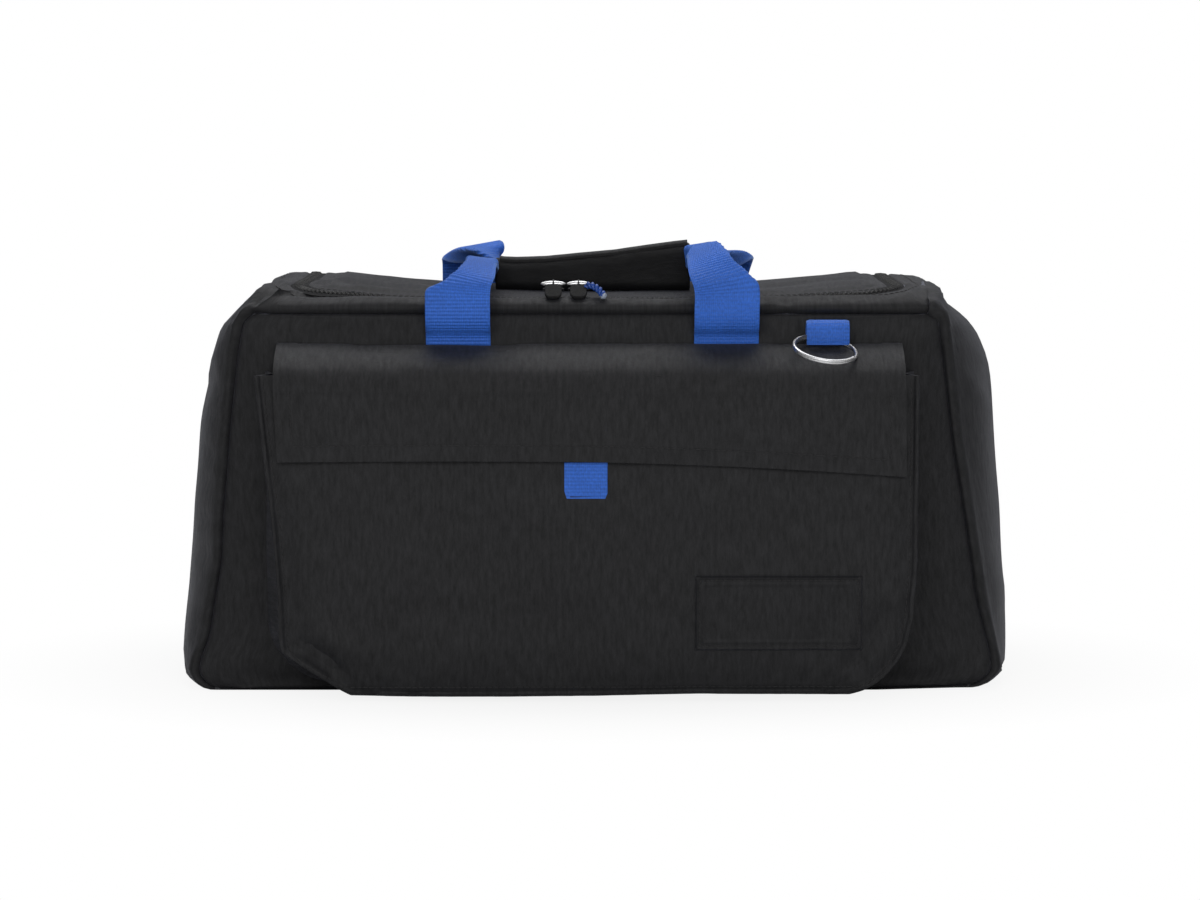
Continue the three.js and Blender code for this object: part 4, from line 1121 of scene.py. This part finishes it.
# The four legs are alike: flat on the panel behind the flap, then swung out over the rim. Past the
# crest each loop's outer edge folds under as it leans in to the grip. Each row: distance out, depth,
# height, turn of the way across, roll, how much of the inner edge is folded and by how many degrees,
# and the same of the outer edge.
leg = [(79, y, z, 90, 0, 0, 0, 0, 0) for y, z in (
    (106.1, 152), (106.1, 180), (107.4, 200), (108.0, 206.5), (108.6, 210.5), (110.2, 213.0),
    (113.4, 215.6), (116.0, 219.6), (117.3, 225.5))]
loops = {
    "front_left": [(78.5, 116.7, 236.0, 90, 0, 0, 0, 1, 30), (72.5, 114.6, 242.6, 90, 0, 0, 0, 11.5, 95),
                   (69.0, 108.0, 247.4, 90, 6, 0, 0, 14.5, 125), (66.5, 92, 251.8, 90, 12, 0, 0, 19, 140),
                   (66.0, 72, 253.8, 86, 12, 2, 60, 20, 140), (67.0, 45, 253.4, 76, 5, 6, 80, 14, 110),
                   (67.5, 24, 251.4, 45, 0, 10, 90, 11, 92), (61.5, 14.4, 249.2, 8, 0, 11, 95, 11, 95),
                   (50, 14, 248.2, 0, 0, 12.5, 150, 12.5, 150), (40, 14, 247.6, 0, 0, 12.5, 165, 12.5, 165)],
    "front_right": [(78.8, 116.8, 236.5, 90, 0, 0, 0, 0.6, 20), (75.5, 114.8, 243.8, 90, 3, 0, 0, 5, 80),
                    (70.5, 108.0, 250.8, 90, 12, 0, 0, 10, 110), (67.5, 96, 257.0, 90, 22, 0, 0, 14, 130),
                    (66.0, 76, 260.4, 86, 26, 1, 30, 17, 140), (65.5, 50, 261.6, 76, 14, 8, 80, 17, 115),
                    (63.5, 27, 260.6, 45, 4, 12, 88, 13, 92), (58.5, 14.6, 258.4, 8, 0, 12.5, 92, 12.5, 92),
                    (50, 14, 256.0, 0, 0, 12.5, 150, 12.5, 150), (40, 14, 253.0, 0, 0, 12.5, 165, 12.5, 165)],
    "rear_left": [(79, 116.9, 238, 90, 0, 0, 0, 0, 0), (78.6, 115.4, 243.8, 90, 0, 0, 0, 1, 20),
                  (78.0, 108, 247.6, 90, 0, 0, 0, 3, 50), (75.5, 86, 252.6, 88, -4, 0, 0, 7, 100),
                  (72.5, 62, 256.2, 84, -8, 0, 0, 11, 130), (69.5, 40, 257.6, 70, -10, 1, 30, 13, 150),
                  (66.0, 24, 256.0, 36, -6, 3, 60, 14, 160), (60.5, 14, 250.0, 6, 0, 9, 150, 11, 170),
                  (54, 11.5, 241.4, 0, 0, 10, 172, 10, 172), (40, 11.5, 238.6, 0, 0, 10, 172, 10, 172)],
    "rear_right": [(82.2, 116.9, 238, 90, 0, 0, 0, 0, 0), (84.2, 115.4, 243.8, 90, 0, 0, 0, 0.6, 20),
                   (84.4, 108, 247.2, 90, 0, 0, 0, 2, 40), (81.5, 86, 250.0, 88, 4, 0, 0, 6, 80),
                   (77.0, 60, 251.6, 82, 6, 2, 40, 12, 120), (71.0, 36, 252.4, 66, 6, 5, 80, 14, 150),
                   (65.5, 19, 248.6, 30, 3, 8, 120, 13, 165), (57.5, 12.4, 242.6, 6, 0, 10, 160, 10, 170),
                   (49, 11.5, 239.2, 0, 0, 10, 172, 10, 172), (40, 11.5, 238.6, 0, 0, 10, 172, 10, 172)],
}
for facing, name in ((-1, "front"), (1, "rear")):
    route = []
    for side, hand in ((-1, "left"), (1, "right")):
        half = np.array(leg + loops[f"{name}_{hand}"], float)
        half[:, 0] = strap_centre + side * half[:, 0]
        half[:, 1] *= facing
        half[:, 3] = 90 + side * facing * half[:, 3]
        if facing > 0:  # at the rear the way across runs inwards
            half = half[:, [0, 1, 2, 3, 4, 7, 8, 5, 6]]
            half[:, 4] *= -1
        route.append(half if side < 0 else half[::-1])
    strap = webbing(name + "_webbing", np.concatenate(route), blue)
    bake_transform(strap)
    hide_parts(name + "_strap_left", name + "_strap_right", name + "_handle")

# ---------------------------------------------------------------- hand wrap
# A padded nylon sleeve round the front grip, which rises to the right. It is closed along its top by
# a strip of hook and loop that lifts off.
wrap_cloth = woven("wrap_cloth", (0.006, 0.006, 0.0066), streak=0.2, sheen=0.05, rough=0.6, specular=0.22)
wrap_x, wrap_y, wrap_foot = (-60.8, 58.2), (-25.5, -2.5), 232.6
wrap_wall, wrap_corner, wrap_lip = 1.8, 5.5, 1.4


def wrap_top(x):
    return np.interp(x, (-61, -56, -48, -30, -10, 12, 34, 50, 58),
                     (252.4, 251.4, 251.0, 251.6, 253.6, 255.6, 258.8, 260.9, 261.8))


def rounded_ring(low_y, high_y, low_z, high_z, radius, per_corner=7, per_side=9):
    """The wrap's section: a box with rounded corners, with points along its sides too."""
    ring = []
    for cy, cz, start in ((high_y - radius, high_z - radius, 0), (low_y + radius, high_z - radius, 90),
                          (low_y + radius, low_z + radius, 180), (high_y - radius, low_z + radius, 270)):
        for a in np.linspace(start, start + 90, per_corner):
            ring.append((cy + radius * math.cos(math.radians(a)), cz + radius * math.sin(math.radians(a))))
    full = []
    for i, p in enumerate(ring):
        full.append(p)
        q = ring[(i + 1) % len(ring)]
        if (i + 1) % per_corner == 0:
            for t in np.linspace(0, 1, per_side + 2)[1:-1]:
                full.append((p[0] + (q[0] - p[0]) * t, p[1] + (q[1] - p[1]) * t))
    return np.array(full)


rings, cut = [], []
wrap_rows = np.concatenate([[0.0, 0.5, 1.4], np.linspace(3, 116, 70), [117.6, 118.5, 119.0]]) + wrap_x[0]
for inside in (False, True):
    for x in (wrap_rows if not inside else wrap_rows[::-1]):
        end = min(x - wrap_x[0], wrap_x[1] - x)
        roll = wrap_wall / 2 * (1 - math.sqrt(max(0.0, 1 - max(0.0, 1 - end / wrap_lip) ** 2)))
        inset = wrap_wall - roll if inside else roll
        ring = rounded_ring(wrap_y[0] + inset, wrap_y[1] - inset, wrap_foot + inset,
                            float(wrap_top(x)) - inset, wrap_corner - inset)
        rings.append([(x, y, z) for y, z in ring])
        cut.append([(a, x) for a in arc_lengths(ring)])
rings = np.array(rings)
count = rings.shape[1]
faces = grid_faces(len(rings), count, closed=True)
last = (len(rings) - 1) * count
faces += [(last + i, last + (i + 1) % count, (i + 1) % count, i) for i in range(count)]
points = rings.reshape(-1, 3)
normals = surface_normals(points, faces)
points = points + normals * (0.35 * wander(points, 14, 5))[:, None]
wrap = new_piece("hand_wrap", points, faces, [wrap_cloth], np.array(cut).reshape(-1, 2), sharp=70)
fixed(wrap, "front_loop", "black_nylon", "hand_wrap")

closing_x = np.linspace(-58.0, 56.6, 60)
closing_y, closing_half = -14.0, 9.5
top = np.array([[(x, y, wrap_top(x) + 1.75 - 1.2 * abs((y - closing_y) / closing_half) ** 4
                  - 0.35 * (abs(y - closing_y) > 9.0))
                 for y in np.linspace(closing_y - closing_half, closing_y + closing_half, 15)]
                for x in closing_x])
closing_strip = pad("wrap_closure", [(top, top - (0, 0, 1.4), top[..., :2])], [wrap_cloth], 0.15,
                    pucker=0.1, backing=0)
fixed(closing_strip, "closure", "black_nylon", "wrap_closure")

# ---------------------------------------------------------------- front pocket
# A bellows pocket in one nylon cloth: a face that leans out towards its foot and a pleated strip
# that joins it to the panel down both sides and under the bottom.
pocket_middle, pocket_half = -3.0, 192.0
pocket_foot, pocket_top = 3.0, 190.0
pocket_corner = 40.0
pocket_lean = (34.0, 16.0)  # how far the face stands out at the top, and how much more at the foot


def foot_lift(points):
    """The pocket's foot hangs a little clear of the floor, more to the right."""
    x, z = points[..., 0], points[..., 2]
    lift = np.interp(x, (-185, -150, -110, -50, 0, 60, 150, 185), (0.5, 1.0, 0.2, 0, 0.6, 1.8, 1.5, 1.0))
    out = points.copy()
    out[..., 2] += lift * np.clip(1 - (z - pocket_foot) / 70, 0, 1)
    return out


def face_y(z):
    """The depth of the pocket's face at a height, with its foot rolled under."""
    z = np.asarray(z, float)
    share = (np.maximum(z, pocket_foot) - pocket_foot) / (pocket_top - pocket_foot)
    under = np.clip((pocket_foot + 8 - z) / 8, 0, 1)
    return (-half_depth - pocket_lean[0] - pocket_lean[1] * (1 - share**1.7)
            + 6 * (1 - np.sqrt(1 - under**2)))


pocket_turns = np.radians(np.linspace(0, 90, 25))
pocket_rows = np.concatenate([pocket_foot + pocket_corner * (1 - np.cos(pocket_turns)),
                              np.linspace(pocket_foot + pocket_corner, pocket_top, 40)[1:]])


def foot_half(z):
    """Half the pocket's width where its side strip meets the panel."""
    low = np.clip((pocket_foot + pocket_corner - z) / pocket_corner, 0, 1)
    return pocket_half - pocket_corner * (1 - np.sqrt(np.maximum(0, 1 - low**2)))


# The face's own edges have slumped: a pleat cuts off its lower left corner.
left_edge = (3, -141.5, 6, -146.5, 10, -153, 16, -162, 21, -170, 26, -177.5, 30, -181.8, 36, -183.2,
             60, -183.8, 100, -187.0, 140, -192.0, 190, -198.0)
right_edge = (3, 148, 6, 156, 10, 163, 16, 170, 24, 176.5, 34, 181.5, 50, 185, 80, 187.5, 190, 189)
pocket_edges = list(zip(np.interp(pocket_rows, left_edge[0::2], left_edge[1::2]),
                        np.interp(pocket_rows, right_edge[0::2], right_edge[1::2])))
flange_steps = np.array([0, 0.7, 1.6, 2.5, 2.9, 4.2, 7.0, 11.0, 17.0])  # over the raised sewn edge
flange_width, pocket_seam = 2.7, 4.6
pleat_depth, pocket_cloth = 6.5, 1.4
pleat_shares = np.array([0, 0.03, 0.07, 0.13, 0.2, 0.28, 0.36, 0.44, 0.5, 0.56, 0.64, 0.72, 0.8, 0.88, 0.94,
                         1.0])


def pocket_patches():
    """The pocket's face with its raised sewn edge, and the pleated strip from there to the panel."""
    face = []
    for (low, high), z in zip(pocket_edges, pocket_rows):
        rest = np.linspace(low + flange_steps[-1], high - flange_steps[-1], 100)[1:-1]
        columns = np.concatenate([low + flange_steps, rest, high - flange_steps[::-1]])
        face.append([(x, face_y(z), z) for x in columns])
    face = np.array(face)
    rim = np.concatenate([face[::-1, 0], face[0][1:-1], face[:, -1]])
    foot_ends = (pocket_middle - foot_half(pocket_foot), pocket_middle + foot_half(pocket_foot))
    foot_x = np.interp(face[0][1:-1, 0], face[0][[0, -1], 0], foot_ends)
    foot = np.array([(pocket_middle - foot_half(z), z) for z in pocket_rows[::-1]]
                    + [(x, pocket_foot) for x in foot_x]
                    + [(pocket_middle + foot_half(z), z) for z in pocket_rows])
    gap = nearest(face[..., [0, 2]], rim[:, [0, 2]])
    face[..., 1] -= 1.1 / (1 + np.exp((gap - flange_width) * 9))
    face[..., 1] += 0.5 * np.exp(-(((gap - flange_width - 0.9) / 1.2) ** 2))
    face_back = face + (0, 1.6, 0)
    rim = np.concatenate([face[::-1, 0], face[0][1:-1], face[:, -1]])
    way = sideways(foot)
    if way[0, 0] > 0:
        way = -way
    side, side_back = [], []
    for share in pleat_shares:
        line = rim[:, [0, 2]] * (1 - share) + foot * share
        off = line - way * pleat_depth * (1 - abs(2 * share - 1)) ** 0.9
        off[:, 1] = np.maximum(off[:, 1], 2.0)
        y = rim[:, 1] * (1 - share) + (-half_depth - 1.0) * share
        side.append(np.stack([off[:, 0], y, off[:, 1]], 1))
        off = off - way * pocket_cloth
        side_back.append(np.stack([off[:, 0], y, off[:, 1]], 1))
    side, side_back = np.array(side), np.array(side_back)
    side[0] = rim
    cut = np.stack([np.repeat(arc_lengths(foot)[None], len(side), 0), side[..., 1]], -1)
    return [(face, face_back, face[..., [0, 2]]), (side, side_back, cut)]


pocket_folds = [
    ("front", [(-180, 30), (-166, 22), (-150, 10)], 3.6, 2.4),
    ("front", [(-178, 38), (-160, 28), (-142, 14)], 4.5, -2.4),
    ("front", [(-172, 50), (-150, 36), (-126, 24)], 6.0, 1.8),
    ("front", [(174, 62), (160, 36), (142, 14)], 6.5, -3.0),
    ("front", [(180, 74), (171, 40), (154, 14)], 4.5, 2.6),
    ("front", [(150, 70), (134, 40), (118, 26)], 8.0, -1.6),
    ("front", [(-183, 120), (-178, 80), (-176, 50)], 6.0, -1.2),
    ("front", [(-60, 118), (20, 112), (90, 116)], 12.0, 1.0),
    ("front", [(-120, 60), (-60, 48), (10, 54)], 14.0, -1.0),
]
pocket = pad("pocket", pocket_patches(), [nylon], 1.0, pocket_folds, settle=(0.01, 0.6, 1.6), pucker=0.15,
             backing=0, shape=foot_lift)
fixed(pocket, "body", "black_nylon", "pocket_face", "pocket_gusset", "pocket_hem")

seam_rows = [(low, high, z) for (low, high), z in zip(pocket_edges, pocket_rows)
             if z > pocket_foot + pocket_seam]
line = [(low + pocket_seam, float(face_y(z)), z) for low, high, z in seam_rows[::-1]]
line += [(high - pocket_seam, float(face_y(z)), z) for low, high, z in seam_rows]
pocket_thread = stitched("pocket_stitches", pocket, foot_lift(np.array(line)), (0, -1, 0), "body")

# The pocket's fastener: a loop strip on the face and a hook strip on the flap, out of sight.
strip_rows = np.linspace(141, 165, 9)
strip_columns = np.linspace(-24, 76, 33)
for name, body, near, far in (("pocket_loop_strip", "body", -0.3, -1.2),
                              ("flap_hook_strip", "pocket_flap", -1.5, -2.4)):
    outer = np.array([[(x, face_y(z) + far, z) for x in strip_columns] for z in strip_rows])
    inner = np.array([[(x, face_y(z) + near, z) for x in strip_columns] for z in strip_rows])
    hook_strip = pad(name, [(outer, inner, outer[..., [0, 2]])], [nylon], 0.0, pucker=0, backing=0)
    fixed(hook_strip, body, "black_nylon", name)

# ---------------------------------------------------------------- patch
# A bare label of the same nylon with a double raised border. It lies on the pocket's face and is sewn
# down along its edge.
patch_left, patch_right, patch_low, patch_high = 58.5, 155.5, 31.25, 74.75
patch_columns = np.linspace(patch_left, patch_right, 98)
patch_rows = np.linspace(patch_low, patch_high, 45)
patch_seam = 2.5
seam_left, seam_right = patch_left + patch_seam, patch_right - patch_seam
seam_low, seam_high = patch_low + patch_seam, patch_high - patch_seam


def patch_height(x, z):
    edge = min(x - patch_left, patch_right - x, z - patch_low, patch_high - z)
    border = 0.9 * math.exp(-(((edge - 1.2) / 0.8) ** 2)) + 0.6 * math.exp(-(((edge - 4.8) / 0.7) ** 2))
    return 0.8 + border - (0.5 if edge < 0.4 else 0)


flat = np.array([(x, float(face_y(z)), z) for z in patch_rows for x in patch_columns])
ground = resting_on(pocket, flat, (0, -1, 0)).reshape(len(patch_rows), len(patch_columns), 3)
outer, inner = ground.copy(), ground + (0, 0.2, 0)
outer[..., 1] -= [[patch_height(x, z) for x in patch_columns] for z in patch_rows]
label = pad("patch", [(outer, inner, outer[..., [0, 2]])], [nylon], 0.0, pucker=0, backing=0)
fixed(label, "body", "black_nylon", "patch")

corners = [(seam_left, seam_low), (seam_right, seam_low), (seam_right, seam_high), (seam_left, seam_high)]
line = []
for (x, z), (to_x, to_z) in zip(corners, corners[1:] + corners[:1]):
    line += [(x + (to_x - x) * t, -180, z + (to_z - z) * t)
             for t in np.linspace(0, 1, 40, endpoint=False)]
patch_thread = stitched("patch_stitches", label, line, (0, -1, 0), "body", pitch=2.6, thick=0.3, closed=True)

# ---------------------------------------------------------------- pocket flap
# One nylon cloth with turned hems, sewn to the panel above the pocket. It slopes over the pocket's
# mouth and hangs down its face, and a webbing tab for the fingers is sewn under its hem.
flap_left, flap_right = -187.0, 181.0
flap_bend = 179.6  # the height at which the slope has turned down
flap_hem, flap_seam, flap_thick = 12.0, 9.2, 1.1
flap_taper = 3.2  # how far its left edge comes in towards the hem
flap_line = [(-106.8, 201.0), (-107.0, 204.0), (-108.4, 206.3), (-112, 206.0), (-119, 203.8), (-126, 200.9),
             (-132.5, 197.2), (-137.8, 192.8), (-141.4, 187.5), (-143.4, 182.6), (-144.0, flap_bend)]
flap_line = smooth_through(flap_line, 5)


def hem_height(x):
    """The hem droops to the right."""
    return read_off(x, (-187, 140.4, -100, 141.0, -5, 140.6, 60, 138.8, 120, 136.0, 181, 132.0))


flap_steps = np.array([0, 0.8, 2, 4, 7, 10, 11.4, 12.2, 13.5, 17])
flap_columns = np.concatenate([flap_left + flap_steps, np.linspace(flap_left + 22, flap_right - 22, 60),
                               flap_right - flap_steps[::-1]])
hang_shares = np.concatenate([np.linspace(0, 0.76, 24)[1:],
                              [0.772, 0.784, 0.80, 0.84, 0.88, 0.92, 0.96, 0.985, 1.0]])


def doubled(from_edge):
    """How much thicker the cloth is where its hem is turned under."""
    return 0.45 / (1 + np.exp((from_edge - flap_hem) * 3))


outer, inner, cut = [], [], []
for x in flap_columns:
    hang = flap_bend - (flap_bend - hem_height(x)) * hang_shares
    line = np.concatenate([flap_line, np.stack([face_y(hang) - 4.3, hang], 1)])
    way, along = sideways(line), arc_lengths(line)
    turned = np.maximum(doubled(min(x - flap_left, flap_right - x) + 0.2), doubled(along[-1] - along))
    outer.append([(x, p[0] + w[0] * t, p[1] + w[1] * t) for p, w, t in zip(line, way, turned)])
    inner.append([(x, p[0] - w[0] * flap_thick, p[1] - w[1] * flap_thick) for p, w in zip(line, way)])
    cut.append([(x, a) for a in along])
outer, inner, cut = np.array(outer), np.array(inner), np.array(cut)
for cloth in (outer, inner):
    near_left = np.clip((-cloth[..., 0] - 100) / 80, 0, 1)
    cloth[..., 0] += flap_taper * np.clip((188 - cloth[..., 2]) / 50, 0, 1) * near_left
flap_folds = [
    ("front", [(-150, 206), (-96, 203.5), (-40, 206)], 4.0, -1.3),
    ("front", [(14, 206), (30, 199), (38, 186), (40, 170)], 4.0, -1.1),
    ("front", [(46, 205), (58, 196), (66, 182)], 5.0, 1.2),
    ("front", [(100, 205), (118, 198), (128, 184)], 5.0, -1.0),
    ("front", [(-186, 200), (-170, 188), (-160, 170)], 6.0, 1.0),
    ("front", [(150, 150), (90, 156), (30, 150)], 8.0, 0.9),
    ("front", [(-150, 160), (-80, 156), (-20, 162)], 10.0, -0.8),
]
flap = pad("flap", [(outer, inner, cut)], [nylon], 0.5, flap_folds, pucker=0.12, backing=0)
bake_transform(flap)
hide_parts("flap_top", "flap")

side_z = np.linspace(182, hem_height(flap_left) + flap_seam, 12)
line = [(flap_left + flap_seam + flap_taper * (188 - z) / 50, -180, z) for z in side_z]
line += [(x, -180, hem_height(x) + flap_seam) for x in np.linspace(flap_left + 13, flap_right - flap_seam, 60)]
line += [(flap_right - flap_seam, -180, z) for z in np.linspace(hem_height(flap_right) + flap_seam, 182, 12)]
flap_thread = stitched("flap_stitches", flap, line, (0, -1, 0), "pocket_flap")

tab_route = [(-5, float(face_y(z)) - 1.35, z, 0, 0, 0, 0, 0, 0) for z in (119.2, 122, 128, 134, 140)]
tab = webbing("flap_tab", np.array(tab_route), blue, 25.0, 1.4, 2.4, 0.18, 15)
fixed(tab, "pocket_flap", "blue_webbing", "flap_tab")

# ---------------------------------------------------------------- key loop and split ring
# A short loop of narrower blue webbing is sewn in at the flap's seam. It carries a split ring of two
# turns of bright steel wire, which hangs forward over the flap.
loop_x, loop_y, loop_z, loop_radius = 137.0, -112.5, 213.5, 6.4
loop_line = [(-106.1, 194.2), (-106.1, 204)]
loop_line += [(loop_y + loop_radius * math.cos(a), loop_z + loop_radius * math.sin(a))
              for a in np.radians(np.linspace(0, 180, 7))]
loop_line += [(-118.9, 210), (-118.2, 206.6)]
route = np.array([(loop_x, y, z, 180, 0, 0, 0, 0, 0) for y, z in loop_line])
key_loop = webbing("key_loop", route, blue, 25.0, 1.5, 2.1, 0.15, 15)
fixed(key_loop, "body", "blue_webbing", "key_loop")

ring_y, ring_z, ring_radius, ring_wire = -108.8, 210.2, 18.3, 1.05
ring_tilt = math.radians(19)
turns = np.radians(np.linspace(0, 690, 150))
across = ring_radius * np.cos(turns)
out = ring_radius * np.sin(turns) - ring_radius
up = np.linspace(-1, 1, len(turns)) - across * 0.14  # it hangs a little lower on the right
coil = np.stack([loop_x - 2.2 + across, ring_y + out * math.cos(ring_tilt) - up * math.sin(ring_tilt),
                 ring_z + out * math.sin(ring_tilt) + up * math.cos(ring_tilt)], 1)
points, faces = tube(coil, ring_wire, 12)
fixed(new_piece("split_ring", points, faces, [steel], sharp=50), "ring", "bright_metal", "split_ring")

# ---------------------------------------------------------------- stage
# A plain pale floor that keeps the bag's shadow near it and turns to white further out, a white
# backdrop, and even, soft light from overhead, from the front and a little from both sides.
floor_finish, tree, shader = new_finish("floor")
shader.inputs["Base Color"].default_value = (0.92, 0.92, 0.92, 1)
shader.inputs["Roughness"].default_value = 0.9
shader.inputs["Specular IOR Level"].default_value = 0.1
spot = tree.nodes.new("ShaderNodeNewGeometry").outputs["Position"]
length = tree.nodes.new("ShaderNodeVectorMath")
length.operation = "LENGTH"
tree.links.new(stretched(tree, spot, 1.0, 1.5), length.inputs[0])
away = ranged(tree, length.outputs["Value"], 0.2, 0.4, 0.86, 1)
ray = tree.nodes.new("ShaderNodeLightPath")
seen = ray.outputs["Is Camera Ray"]
paper = tree.nodes.new("ShaderNodeEmission")
paper.inputs["Color"].default_value = (1, 1, 1, 1)
paper.inputs["Strength"].default_value = 1.0
blended = tree.nodes.new("ShaderNodeMixShader")
tree.links.new(math_node(tree, "MULTIPLY", away, seen), blended.inputs["Fac"])
tree.links.new(shader.outputs["BSDF"], blended.inputs[1])
tree.links.new(paper.outputs["Emission"], blended.inputs[2])
tree.links.new(blended.outputs["Shader"], tree.nodes["Material Output"].inputs["Surface"])
mesh = bpy.data.meshes.new("floor")
mesh.from_pydata([(-8, -8, 0), (8, -8, 0), (8, 8, 0), (-8, 8, 0)], [], [(0, 1, 2, 3)])
mesh.materials.append(floor_finish)
floor = bpy.data.objects.new("floor", mesh)
floor.location.z = -0.0002
bpy.context.scene.collection.objects.link(floor)

world = bpy.data.worlds.new("studio")
world.use_nodes = True
bpy.context.scene.world = world
tree = world.node_tree
backdrop = tree.nodes["Background"]
backdrop.inputs["Color"].default_value = (1, 1, 1, 1)
backdrop.inputs["Strength"].default_value = 0.25
white = tree.nodes.new("ShaderNodeBackground")
white.inputs["Color"].default_value = (1, 1, 1, 1)
white.inputs["Strength"].default_value = 1.0
choose = tree.nodes.new("ShaderNodeMixShader")
ray = tree.nodes.new("ShaderNodeLightPath")
seen = math_node(tree, "MAXIMUM", ray.outputs["Is Camera Ray"], ray.outputs["Is Transmission Ray"])
seen = math_node(tree, "MAXIMUM", seen, math_node(tree, "MULTIPLY", ray.outputs["Is Glossy Ray"], 0.12))
tree.links.new(seen, choose.inputs["Fac"])
tree.links.new(backdrop.outputs["Background"], choose.inputs[1])
tree.links.new(white.outputs["Background"], choose.inputs[2])
tree.links.new(choose.outputs["Shader"], tree.nodes["World Output"].inputs["Surface"])


def soft_lamp(name, place, size, power):
    lamp = bpy.data.lights.new(name, "AREA")
    lamp.shape, lamp.size, lamp.size_y, lamp.energy = "RECTANGLE", size[0], size[1], power
    holder = bpy.data.objects.new(name, lamp)
    holder.location = place
    holder.rotation_euler = (Vector((0, 0, 0.12)) - Vector(place)).to_track_quat("-Z", "Y").to_euler()
    bpy.context.scene.collection.objects.link(holder)


soft_lamp("overhead", (0, 0.6, 1.8), (2.0, 0.8), 17)
soft_lamp("left_side", (-1.7, -0.2, 1.3), (0.7, 1.2), 0.7)
soft_lamp("right_side", (1.7, -0.2, 1.3), (0.7, 1.2), 0.2)
soft_lamp("front_high", (0, -2.3, 1.4), (2.2, 1.0), 18)
soft_lamp("front_low", (0, -2.3, 0.4), (2.2, 0.4), 3.8)

view = bpy.context.scene.view_settings
view.view_transform = "Standard"
